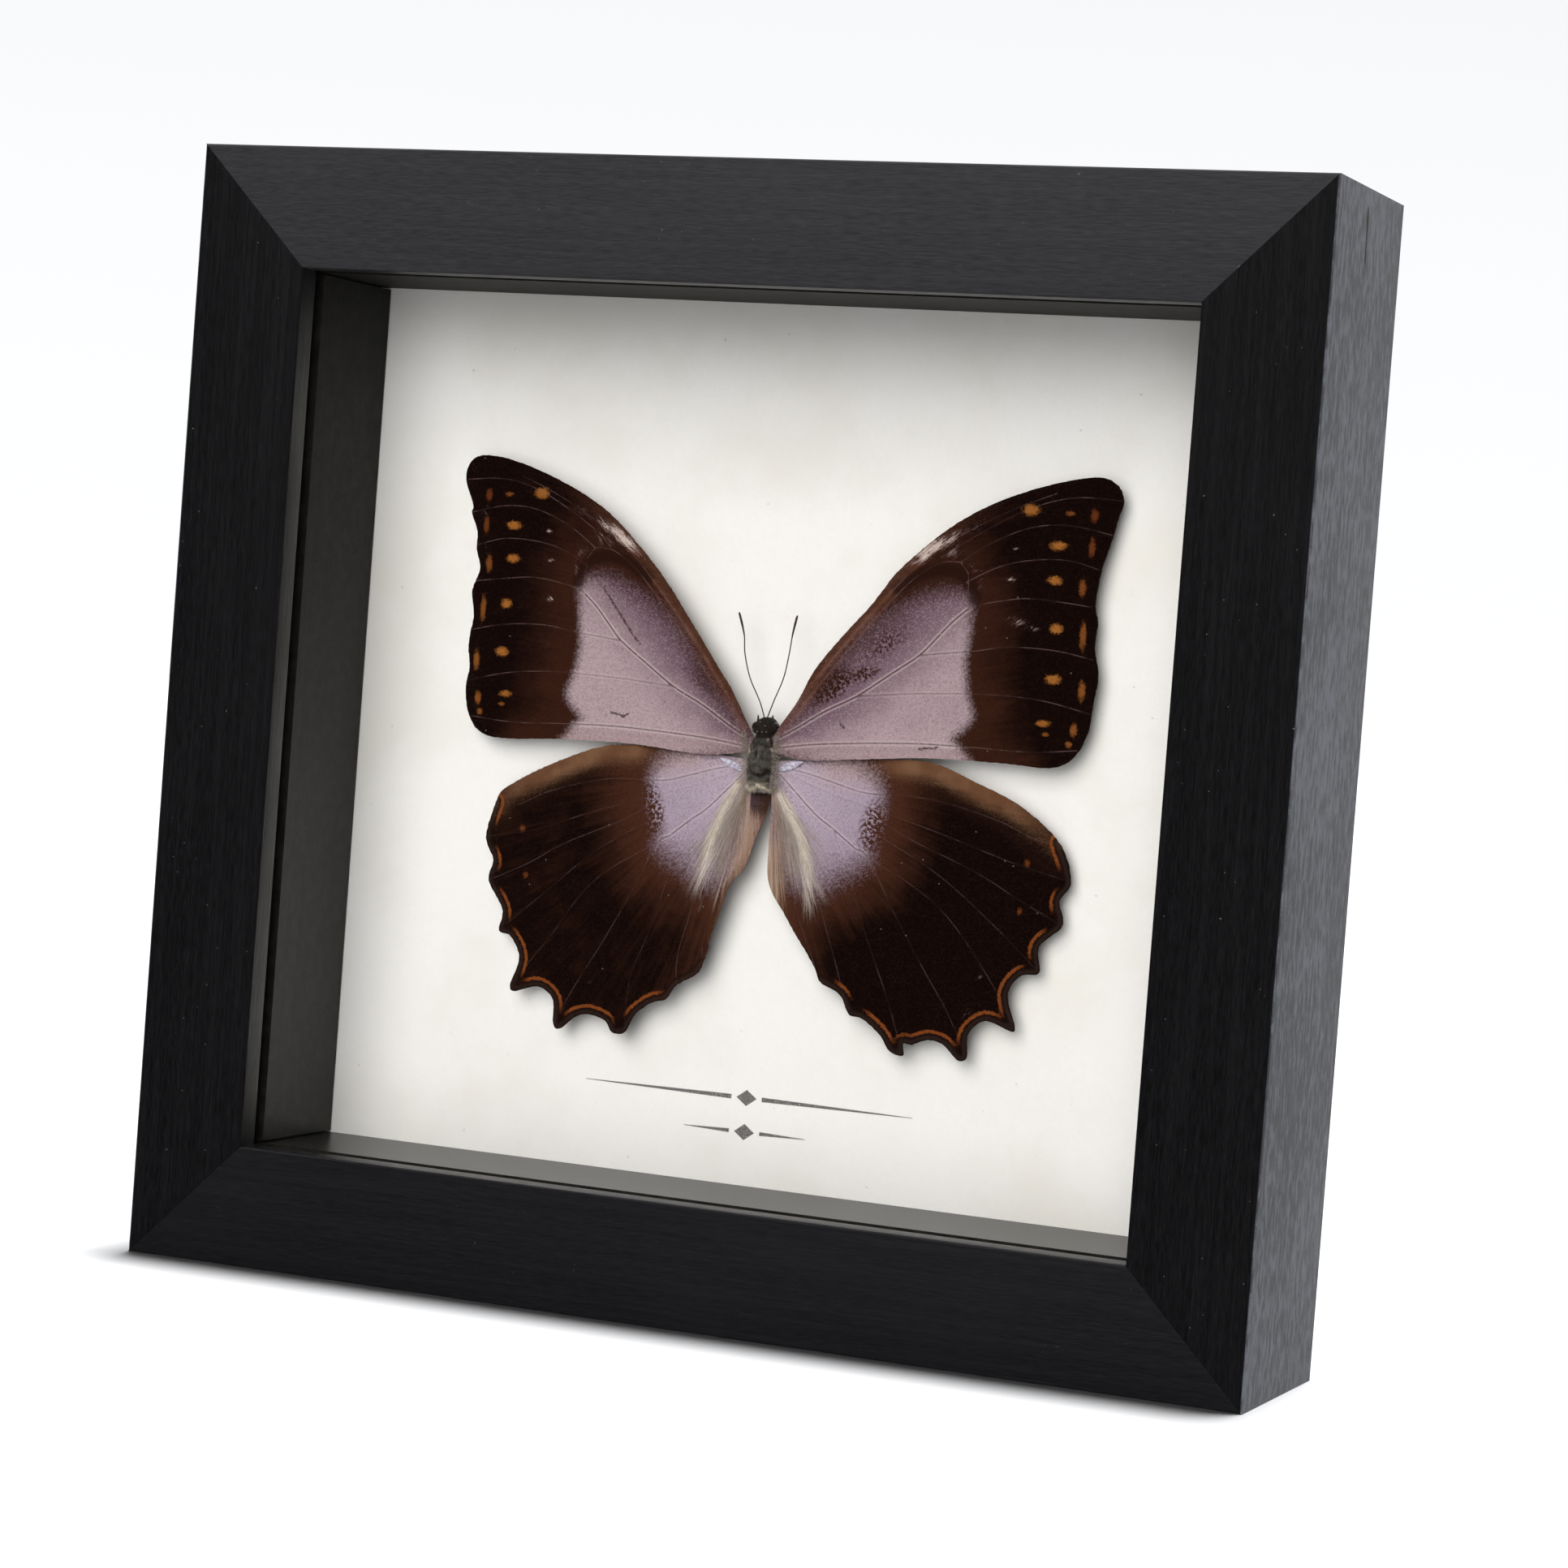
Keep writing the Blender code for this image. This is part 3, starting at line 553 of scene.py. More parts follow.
    # Veins: faint on the dark ground, inked and edged with light in the lilac.
    thin = (vein + (clump - 0.5) * 0.05).ramp(0.12, 0.04)
    broken = cloud.ramp(0.4, 0.62) * 0.8 + 0.2
    ink = finish.attribute("ink")
    faint = thin * broken * (1.0 - patch) * (0.24 if hind else 0.4)
    colour = finish.blend(faint, colour, (0.14, 0.082, 0.078))
    colour = finish.blend(thin * patch * ink, colour, (0.075, 0.045, 0.045))
    beside = vein.ramp(0.1, 0.22) * vein.ramp(0.5, 0.26) * patch * ink
    colour = finish.blend(beside * 0.35, colour, (0.60, 0.50, 0.50))
    crack = (finish.attribute("crack") + (clump - 0.5) * 0.5).ramp(0.24, 0.08)
    colour = finish.blend(crack * 0.85, colour, (0.035, 0.018, 0.016))

    if hind:
        # The scalloped orange line inside the margin, which fades at the tips, and the combed hairs.
        tips = finish.attribute("tips")
        wave = margin + (clump - 0.5) * 0.5
        fade = (tips + (clump - 0.5) * 1.6).ramp(2.0, 3.9)
        line = (wave - 1.3).size().ramp(0.36, 0.12) * fade
        rim = wave.ramp(0.95, 0.7) * wave.ramp(0.1, 0.3)
        colour = finish.blend(rim * 0.7, colour, (0.022, 0.012, 0.009))
        colour = finish.blend((wave - 0.85).size().ramp(0.3, 0.12) * 0.6, colour, (0.006, 0.0025, 0.002))
        line_colour = finish.blend(speck.ramp(0.7, 0.1) * 0.5, (0.185, 0.049, 0.011), (0.07, 0.018, 0.006))
        colour = finish.blend(line * 0.95, colour, line_colour)
        fur = finish.attribute("fur")
        combed = (fur + (streak - 0.5) * 1.9 * fur.ramp(0.02, 0.3)).ramp(0.08, 1.05)
        hair_colour = finish.blend(finish.attribute("warmth"), (0.57, 0.49, 0.43), (0.32, 0.205, 0.140))
        colour = finish.blend(combed * 0.9, colour, hair_colour)
    fringe = (margin + (clump - 0.5) * 0.15).ramp(0.24, 0.08)
    colour = finish.blend(fringe * 0.9, colour, (0.010, 0.006, 0.005))
    fleck = finish.flat_noise(place, 1.5, 0.0).ramp(0.935, 0.96)
    colour = finish.blend(fleck * (1.0 - patch) * 0.4, colour, (0.24, 0.20, 0.18))
    finish.feed("Base Color", colour)
    finish.feed("Roughness", patch * -0.12 + speck * 0.15 + 0.55)
    finish.bump(speck * 0.4 + clump * 0.6, 0.035, strength=0.5)
    return finish


def fur_finish(name, dark, light, warm):
    """Fine hair whose tint changes from strand to strand."""
    finish = Finish(name, roughness=0.6, Specular_IOR_Level=0.2)
    colour = finish.blend(finish.attribute("tint"), dark, light)
    finish.feed("Base Color", finish.blend(finish.attribute("warmth"), colour, warm))
    return finish


def body_finish():
    """The skin under the fur: grey, with dark sutures and cream down."""
    finish = Finish("body_skin", roughness=0.6, Specular_IOR_Level=0.3)
    place = finish.place()
    cloud = finish.noise(place, 1.2, detail=4.0, roughness=0.65)
    down = finish.noise(place, 7.0, detail=3.0, roughness=0.7)
    colour = finish.blend(cloud.ramp(0.35, 0.68), (0.020, 0.015, 0.011), (0.082, 0.078, 0.073))
    colour = finish.blend(down.ramp(0.5, 0.72) * 0.45, colour, (0.19, 0.18, 0.165))
    cream = (finish.attribute("cream") + (down - 0.5) * 0.9).ramp(0.2, 0.9)
    colour = finish.blend(cream * 0.9, colour, (0.58, 0.50, 0.39))
    gloom = (finish.attribute("gloom") + (down - 0.5) * 0.5).ramp(0.1, 0.8)
    colour = finish.blend(gloom * 0.92, colour, (0.009, 0.006, 0.0045))
    finish.feed("Base Color", colour)
    finish.bump(down * 0.7 + cloud * 0.3, 0.12, strength=0.8)
    return finish


def plate_finish():
    """Pearly scales, lighter than the wing."""
    finish = Finish("pearly_plate", roughness=0.36, Specular_IOR_Level=0.5)
    grain = finish.noise(finish.place(), 3.0, detail=3.0)
    finish.feed("Base Color", finish.blend(grain.ramp(0.35, 0.7), (0.30, 0.255, 0.33), (0.62, 0.60, 0.70)))
    finish.bump(grain, 0.04, strength=0.5)
    return finish


def eye_finish():
    """Dark glossy eyes with fine facets."""
    finish = Finish("eye_dark", roughness=0.22, Specular_IOR_Level=0.6)
    facets = finish.add("TexVoronoi", Vector=finish.place(), Scale=9.0)
    colour = finish.blend(facets.ramp(0.1, 0.6), (0.016, 0.010, 0.008), (0.006, 0.004, 0.004))
    finish.feed("Base Color", colour)
    finish.bump(facets, 0.02, strength=0.4)
    return finish


def antenna_finish():
    """Dark brown horn in fine rings."""
    finish = Finish("antenna_horn", roughness=0.45)
    rings = finish.noise(finish.place((0.2, 0.2, 1.0)), 3.0)
    finish.feed("Base Color", finish.blend(rings.ramp(0.4, 0.6), (0.016, 0.011, 0.008), (0.045, 0.03, 0.02)))
    return finish


def wing_to_world(x, y, depth, side):
    """Points of a wing's flat frame, in millimetres of the whole object."""
    sx = side * x
    cosine, sine = math.cos(SPECIMEN_LEAN), math.sin(SPECIMEN_LEAN)
    return (SPECIMEN_X + sx * cosine - y * sine, WING_Y + depth, SPECIMEN_Z + sx * sine + y * cosine)


def rise(value, low, high, least=0.0):
    """0 (or least) at low, 1 at high, straight between; low may be above high."""
    return np.clip((value - low) / (high - low), least, 1.0)


def bell(value, width):
    """1 where value is 0, falling away smoothly on both sides."""
    return np.exp(-(value / width) ** 2)


def fan_place(points):
    """How far round, in degrees, and how far out points lie from where a hindwing's veins fan out."""
    x, y = points.T
    return np.degrees(np.arctan2(x - FAN_X, -y)), np.hypot(x - FAN_X, y)


def smooth_path(points, step, closed):
    """A Catmull-Rom curve through points, with a new point about every step millimetres."""
    pts = [np.array(p, float) for p in points]
    count = len(pts)
    spans = count if closed else count - 1
    path = []
    for i in range(spans):
        if closed:
            p0, p1, p2, p3 = (pts[(i + k) % count] for k in (-1, 0, 1, 2))
        else:
            p0, p1, p2, p3 = (pts[min(max(i + k, 0), count - 1)] for k in (-1, 0, 1, 2))
        pieces = max(1, int(np.linalg.norm(p2 - p1) / step))
        for k in range(pieces):
            t = k / pieces
            path.append(0.5 * (2 * p1 + (p2 - p0) * t + (2 * p0 - 5 * p1 + 4 * p2 - p3) * t ** 2
                               + (3 * p1 - p0 - 3 * p2 + p3) * t ** 3))
    if not closed:
        path.append(pts[-1])
    return np.array(path)


def distance_to(points, path, closed=False):
    """Distance from each point to a path."""
    best = np.full(len(points), 1e9)
    ends = np.roll(path, -1, 0) if closed else path[1:]
    for a, b in zip(path, ends):
        edge = b - a
        length = edge @ edge
        t = np.clip((points - a) @ edge / length, 0, 1) if length > 0 else np.zeros(len(points))
        best = np.minimum(best, np.hypot(*(a + t[:, None] * edge - points).T))
    return best


def inside(points, loop):
    """True for each point inside a closed loop."""
    result = np.zeros(len(points), bool)
    for a, b in zip(loop, np.roll(loop, -1, 0)):
        if a[1] == b[1]:
            continue
        crosses = (a[1] > points[:, 1]) != (b[1] > points[:, 1])
        at = a[0] + (points[:, 1] - a[1]) / (b[1] - a[1]) * (b[0] - a[0])
        result ^= crosses & (points[:, 0] < at)
    return result


def signed_distance(points, loop):
    """Distance to a loop, positive inside it."""
    return distance_to(points, loop, closed=True) * np.where(inside(points, loop), 1.0, -1.0)


def spot_field(points, spots):
    """1 in the middle of the nearest spot, 0 at its edge and beyond; and that spot's redness."""
    best = np.full(len(points), -1.0)
    redness = np.zeros(len(points))
    for cx, cy, half_length, half_height, *red in spots:
        d = np.hypot((points[:, 0] - cx) / half_length, (points[:, 1] - cy) / half_height)
        value = 1.5 - d
        redness = np.where(value > best, red[0], redness)
        best = np.maximum(best, value)
    return best, redness


def left_fore_place(point):
    """A place on the right forewing as the left forewing shows it."""
    x, y = point
    return (x - 0.045 * (y - 14.0) * x / 45.0, y)


def left_hind_place(point):
    """A place on the right hindwing as the left hindwing shows it."""
    x, y = point
    return (0.95 * x + 0.022 * y, y)


def new_mesh_object(name, verts, faces, values=None):
    """A mesh from arrays in millimetres, with float values on its points."""
    mesh = bpy.data.meshes.new(name)
    mesh.from_pydata([tuple(v) for v in np.asarray(verts) * MM], [], faces)
    for key, data in (values or {}).items():
        data = np.asarray(data, np.float32)
        kind = "FLOAT_VECTOR" if data.ndim == 2 else "FLOAT"
        attribute = mesh.attributes.new(key, kind, "POINT")
        attribute.data.foreach_set("vector" if data.ndim == 2 else "value", data.ravel())
    mesh.update()
    obj = bpy.data.objects.new(name, mesh)
    bpy.context.scene.collection.objects.link(obj)
    return obj


def select_only(obj):
    """Make an object the only selected and the active one."""
    bpy.ops.object.select_all(action="DESELECT")
    obj.select_set(True)
    bpy.context.view_layer.objects.active = obj


def apply_modifier(obj, kind, **settings):
    """Add a modifier, set it and make its result the object's mesh."""
    select_only(obj)
    bpy.ops.object.modifier_add(type=kind)
    modifier = obj.modifiers[-1]
    for name, value in settings.items():
        setattr(modifier, name, value)
    bpy.ops.object.modifier_apply(modifier=modifier.name)


def shade_round(obj, angle=40.0):
    """Shade an object smooth, but not over edges sharper than angle degrees."""
    select_only(obj)
    bpy.ops.object.shade_smooth_by_angle(angle=math.radians(angle))


class WingPlan:
    """One wing's outline, veins and markings in its flat frame."""

    def __init__(self, name, outline, side, hind, seed):
        self.name = name
        self.side = side
        self.hind = hind
        self.outline = outline
        self.random = np.random.default_rng(seed)
        move = (left_hind_place if hind else left_fore_place) if side < 0 else (lambda p: p)
        first, last = HIND_MARGIN if hind else FORE_MARGIN
        self.margin_path = smooth_path(outline[first:last + 1], 0.4, closed=False)
        self.lead_path = smooth_path(outline[:first + 1], 0.8, closed=False)
        lilac = HIND_LILAC if hind else FORE_LILAC
        self.lilac_loop = smooth_path([move(p) for p in lilac], 0.8, closed=True)
        if hind:
            self.veins = [smooth_path([move(p) for p in pts] + [outline[tip]], 1.0, closed=False)
                          for pts, tip in HIND_VEINS]
            self.vein_ink = [0.5, 0.12, 0.12, 0.12, 0.15, 0.75, 0.12, 0.0, 0.0]
            self.tips = [tip for _, tip in HIND_VEINS[1:]]
            if side < 0:
                self.tips.append(30)    # a tip near the fold, between two veins
            self.ridge_path = smooth_path(RIGHT_RIDGE if side > 0 else LEFT_RIDGE, 0.8, closed=False)
            self.fold_path = smooth_path(LEFT_FOLD, 0.8, closed=False)
        else:
            self.veins = [smooth_path([move(p) for p in pts], 1.0, closed=False) for pts in FORE_VEINS]
            self.vein_ink = [0.1, 0.1, 0.1, 0.1, 0.1, 0.1, 0.1, 0.95, 0.45, 0.35, 0.7]
            self.gloom_path = smooth_path([move(p) for p in GLOOM_LINE], 0.8, closed=False)
        self.cracks = [] if hind else (RIGHT_CRACKS if side > 0 else LEFT_CRACKS)
        self.spots = self.move_spots(HIND_SPOTS if hind else ORANGE_SPOTS + MARGIN_BARS, move)
        own_scuffs = RIGHT_SCUFFS if side > 0 else LEFT_SCUFFS
        self.scuffs = [] if hind else self.move_spots(FORE_SCUFFS, move) + own_scuffs

    @staticmethod
    def move_spots(spots, move):
        """Spots with their centres moved."""
        return [(*move(spot[:2]), *spot[2:]) for spot in spots]

    def sheet(self, x):
        """Depth of the wing without its relief, at distances x from the body's axis."""
        return (WING_STEP if self.hind else 0.0) + WING_DROOP * (x / WING_REACH) ** 2

    def past_fold(self, x, y):
        """How far places lie outwards from the left hindwing's fold."""
        return x - np.interp(-y, -self.fold_path[:, 1], self.fold_path[:, 0])

    def ridge_height(self, points):
        """How far the hairy ridge of a hindwing stands up, in millimetres."""
        ridge = distance_to(points, self.ridge_path)
        return 0.55 * bell(ridge, 1.3) * rise(points[:, 1], -2.0, -7.0)


def wing_points(plan, spacing):
    """Outline points, ragged by a hair's breadth, points along the veins, and a grid between them."""
    loop = smooth_path(plan.outline, spacing, closed=True)
    centre = loop.mean(0)
    out = (loop - centre) / np.linalg.norm(loop - centre, axis=1)[:, None]
    near_root = loop[:, 0] < 4.0
    ragged = plan.random.uniform(-0.09, 0.02, len(loop)) * ~near_root
    loop = loop + out * ragged[:, None]
    low, high = loop.min(0), loop.max(0)
    # The grid is one of triangles, each a little out of place.
    xs = np.arange(low[0], high[0], spacing)
    ys = np.arange(low[1], high[1], spacing * 0.866)
    gx, gy = np.meshgrid(xs, ys)
    gx = gx + (np.arange(len(ys)) % 2)[:, None] * spacing / 2
    grid = np.c_[gx.ravel(), gy.ravel()] + plan.random.uniform(-0.06, 0.06, (gx.size, 2))
    grid = grid[signed_distance(grid, loop) > spacing * 0.5]
    ribs = np.concatenate([smooth_path(vein, spacing, closed=False) for vein in plan.veins])
    ribs = ribs[signed_distance(ribs, loop) > spacing * 0.6]
    ribs = ribs[np.sort(np.unique((ribs / 0.12).round().astype(int), axis=0, return_index=True)[1])]
    clear = np.full(len(grid), True)
    for vein in plan.veins:
        clear &= distance_to(grid, vein) > spacing * 0.4
    return loop, np.r_[ribs, grid[clear]]


def nearest_vein(plan, points):
    """Distance to the nearest vein, and how dark that vein is in the lilac."""
    distance = np.full(len(points), 1e9)
    ink = np.zeros(len(points))
    for vein, weight in zip(plan.veins, plan.vein_ink):
        away = distance_to(points, vein)
        ink = np.where(away < distance, weight, ink)
        distance = np.minimum(distance, away)
    return distance, ink


def soft_waves(points, seed, size):
    """A smooth random surface made of a few crossing waves, about -1 to 1."""
    random = np.random.default_rng(seed)
    total = np.zeros(len(points))
    for _ in range(6):
        angle = random.uniform(0, math.pi)
        length = size * random.uniform(0.7, 1.6)
        along = points @ np.array([math.cos(angle), math.sin(angle)])
        total += np.sin(along * 2 * math.pi / length + random.uniform(0, 2 * math.pi))
    return total / 3.0


def wing_height(plan, points, vein):
    """Relief of a wing towards the viewer, in millimetres."""
    x, y = points.T
    lead = distance_to(points, plan.lead_path)
    near_root = rise(np.hypot(x, y), 60.0, 0.0, least=0.2)
    # Veins stand up, and the skin sinks between them.
    height = 0.15 * near_root * bell(vein, 0.2)
    height -= 0.14 * rise(vein, 0.0, 2.5) ** 1.5 * near_root
    height += 0.16 * soft_waves(points, 7 if plan.hind else 5, 19.0)
    if not plan.hind:
        # The stiff leading edge with a groove behind it, and the fold by the last vein.
        strut = rise(x, 46.0, 0.0) ** 0.5
        height += 0.36 * strut * bell(lead, 0.5)
        height -= 0.20 * strut * bell(lead - 1.1, 0.4)
        fold = distance_to(points, plan.veins[-1])
        height += 0.22 * bell(fold - 0.5, 0.5) * rise(x, 40.0, 30.0)
    else:
        angle = np.arctan2(x - 1.0, -y)
        pleat = rise(angle, 0.62, 0.22) * rise(y, 0.0, -9.0)
        height += 0.10 * pleat * np.sin(angle * 34.0)
        height += plan.ridge_height(points)
        if plan.side < 0:
            fold = distance_to(points, plan.fold_path)
            height += 0.85 * bell(fold, 0.75) * rise(y, -3.0, -7.0)
            sunk = np.where(plan.past_fold(x, y) < 0.0, fold, 0.0)
            height -= rise(sunk, 0.0, 1.4) * 0.6
    return height * rise(x, 2.0, 5.0, least=0.25)


def blob_field(points, blobs):
    """Soft ellipses: the strongest at each point."""
    best = np.zeros(len(points))
    for cx, cy, length, height, turn, strength in blobs:
        c, s = math.cos(math.radians(turn)), math.sin(math.radians(turn))
        dx, dy = points[:, 0] - cx, points[:, 1] - cy
        d2 = ((dx * c + dy * s) / length) ** 2 + ((dy * c - dx * s) / height) ** 2
        best = np.maximum(best, strength * np.exp(-d2))
    return best


def hind_fields(plan, points, lilac, lead):
    """A hindwing's tones: the patch, the tan bands, the combed fur and, on the left, the fold and a painted
    shade under the body.
    """
    x, y = points.T
    angle, root = fan_place(points)
    outer = rise(angle, 40.0, 65.0)
    soft = 2.3 + 2.9 * (1.0 - outer) + 1.4 * rise(y, -3.0, 1.0)
    depth = rise(lilac, -1.0, -12.0) * rise(angle, 6.0, 24.0, least=0.1)
    depth = depth * (1.12 if plan.side > 0 else 0.9)
    shade = rise(root, 20.0, 6.0)
    band = bell(lead - 0.4, 2.3) * rise(x, 17.0, 22.0)
    band *= rise(x, 50.0, 36.0, least=0.25) * 1.25
    inner = rise(angle, 13.0, 6.0) * rise(y, -4.0, -12.0)
    inner *= rise(y, -25.0, -17.0, least=0.3)
    tan = np.maximum(band, inner)
    rub = 1.3 * np.exp(-(((x - 17.8) / 2.2) ** 2 + ((y + 7.6) / 3.4) ** 2))
    pink = rise(y, -3.4, 0.2) * 0.8 * rise(x, 6.0, 12.0)

    ridge = distance_to(points, plan.ridge_path)
    reach = rise(root, 25.0, 14.0)
    fan = bell(angle - 24.0, 8.5) * reach * 0.5
    fur = np.maximum(fan, 0.95 * bell(ridge, 0.8) * reach)
    fur = np.maximum(fur, 0.75 * inner * (plan.side > 0))
    warmth = rise(angle, 17.0, 9.0) * 0.8
    tips = np.min([np.hypot(x - plan.outline[i][0], y - plan.outline[i][1]) for i in plan.tips], 0)
    gloom = 0.55 * bell(lead - 4.2, 1.3) * rise(x, 22.0, 28.0)
    if plan.side > 0:
        pale = blob_field(points, RIGHT_HIND_SCUFFS)
    else:
        pale = blob_field(points, LEFT_HIND_SCUFFS)
        beyond = plan.past_fold(x, y)
        warmth = np.maximum(warmth, 0.55 * bell(beyond - 1.6, 1.5))
        warmth = np.where(beyond < 0.0, 1.0, warmth)
        fur = np.maximum(fur, 0.7 * rise(np.abs(beyond), 3.5, 0.0) * reach)
        tan = np.maximum(tan, rise(beyond, 0.0, -0.8))
        # Painted shade: the strip that lies under the body's edge is darkened, as in the body's shadow.
        under = rise(y, -9.0, -5.5) * rise(x, 1.9, 1.4) * (y < -2.0)
        gloom = np.maximum(gloom, 1.3 * under)
        fur = fur * (1.0 - under)
    return {"lilac": lilac / soft, "depth": depth, "shade": shade, "tan": tan, "rub": rub, "pink": pink,
            "pale": pale, "gloom": gloom, "fur": fur, "warmth": warmth, "tips": tips}


def fore_fields(plan, points, lilac, lead, vein):
    """A forewing's tones: the patch, the tan leading edge, the scuffs and the rubbed places."""
    x, y = points.T
    right = plan.side > 0
    across = (x - y + 2.0) / 1.414      # distance behind a line that runs outwards and up from the root
    soft = np.interp(across, [0.0, 3.0, 9.0], [3.4, 2.8, 1.5])
    depth = np.clip((-lilac - 1.5) / (8.0 if right else 9.5), 0.0, 1.15)
    depth *= 1.0 - 0.75 * bell(y - 2.0, 3.2) * rise(x, 48.0, 40.0)
    depth *= 1.0 if right else 0.93
    depth = np.where(across < 3.0, depth * 0.6 + 0.25 * rise(x, 30.0, 38.0), depth)
    shade = rise(across, 0.5, 10.5) ** 0.8
    shade -= (0.22 if right else 0.0) * rise(y, 3.0, 8.0)
    tan = 0.5 * np.exp(-(lead / 1.9) ** 4) * rise(x, 38.0, 24.0)
    tan += 0.35 * bell(vein, 0.3) * (across < 4.0) * rise(x, 30.0, 20.0)
    rub = blob_field(points, FORE_RUBBED) * (1.5 if right else 0.4)
    pink = rise(y, 5.0, 3.0) * 0.6
    gloom = 1.15 * bell(distance_to(points, plan.gloom_path), 1.15)
    return {"lilac": lilac / soft, "depth": depth, "shade": shade, "tan": tan, "rub": rub, "pink": pink,
            "pale": blob_field(points, plan.scuffs), "gloom": gloom}


def wing_values(plan, points, vein, ink):
    """The fields that the wing's finish reads."""
    x, y = points.T
    shift = 0.0 if plan.side > 0 else LEFT_SHIFT
    lilac = signed_distance(points, plan.lilac_loop)
    lead = distance_to(points, plan.lead_path)
    spot, red = spot_field(points, plan.spots)
    crack = np.full(len(x), 5.0)
    for path in plan.cracks:
        crack = np.minimum(crack, distance_to(points, smooth_path(path, 0.5, closed=False)))
    if plan.hind:
        angle, root = fan_place(points)
        flow_x, flow_y = angle * 0.75, root * 0.06
        spot *= 0.8
        own = hind_fields(plan, points, lilac, lead)
    else:
        flow_x, flow_y = (y - 0.18 * x) * 1.4, x * 0.1
        own = fore_fields(plan, points, lilac, lead, vein)
    none = np.zeros(len(x))
    return own | {
        "wing_place": np.c_[x + shift, y, none],
        "rays": np.c_[flow_x + shift, flow_y, none],
        "brushed": np.c_[(x * 0.76 + y * 0.65) * 0.5 + shift, (y * 0.76 - x * 0.65) * 3.4, none],
        "margin": distance_to(points, plan.margin_path), "vein": vein, "ink": ink, "spot": spot, "red": red,
        "crack": crack}


def build_wing(plan, spacing, finish):
    """A thin sheet with raised veins, in place of the plain solid."""
    loop, grid = wing_points(plan, spacing)
    places, _, triangles = delaunay_2d_cdt(
        [Vector(p) for p in np.r_[loop, grid]], [], [list(range(len(loop)))], 1, 1e-6)[:3]
    points = np.array([tuple(p) for p in places])
    vein, ink = nearest_vein(plan, points)
    depth = plan.sheet(points[:, 0]) - wing_height(plan, points, vein)
    verts = np.c_[wing_to_world(points[:, 0], points[:, 1], depth, plan.side)]
    faces = [tuple(face) if plan.side > 0 else tuple(reversed(face)) for face in triangles]
    wing = new_mesh_object(plan.name, verts, faces, wing_values(plan, points, vein, ink))
    apply_modifier(wing, "SOLIDIFY", thickness=WING_SHEET * MM, offset=-1.0)
    shade_round(wing, 60.0)
    put_on(wing, finish)
    return wing


def strands(name, roots, directions, lengths, radius, curl, values, random):
    """Tapered three-sided hairs as one closed mesh each, joined; values holds a number for each hair."""
    count = len(roots)
    directions = directions / np.linalg.norm(directions, axis=1)[:, None]
    side = np.cross(directions, random.normal(size=(count, 3)))
    side /= np.linalg.norm(side, axis=1)[:, None]
    other = np.cross(directions, side)
    bend = (side * random.normal(size=(count, 1)) + other * random.normal(size=(count, 1))) * curl
    verts = []
    for share, thick in ((0.0, 1.0), (0.55, 0.8), (1.0, 0.0)):
        centre = roots + directions * (lengths * share)[:, None] + bend * (lengths * share ** 2)[:, None]
        if thick == 0.0:
            verts.append(centre)
            continue
        for k in range(3):
            turn = 2 * math.pi * k / 3
            verts.append(centre + (side * math.cos(turn) + other * math.sin(turn)) * radius * thick)
    stacked = np.stack(verts, 1)
    faces = []
    for i in range(count):
        a = i * HAIR_POINTS
        faces.append((a + 2, a + 1, a))
        for k in range(3):
            n = (k + 1) % 3
            faces.append((a + k, a + n, a + 3 + n, a + 3 + k))
            faces.append((a + 3 + k, a + 3 + n, a + 6))
    repeated = {key: np.repeat(data, HAIR_POINTS) for key, data in values.items()}
    return new_mesh_object(name, stacked.reshape(-1, 3), faces, repeated)


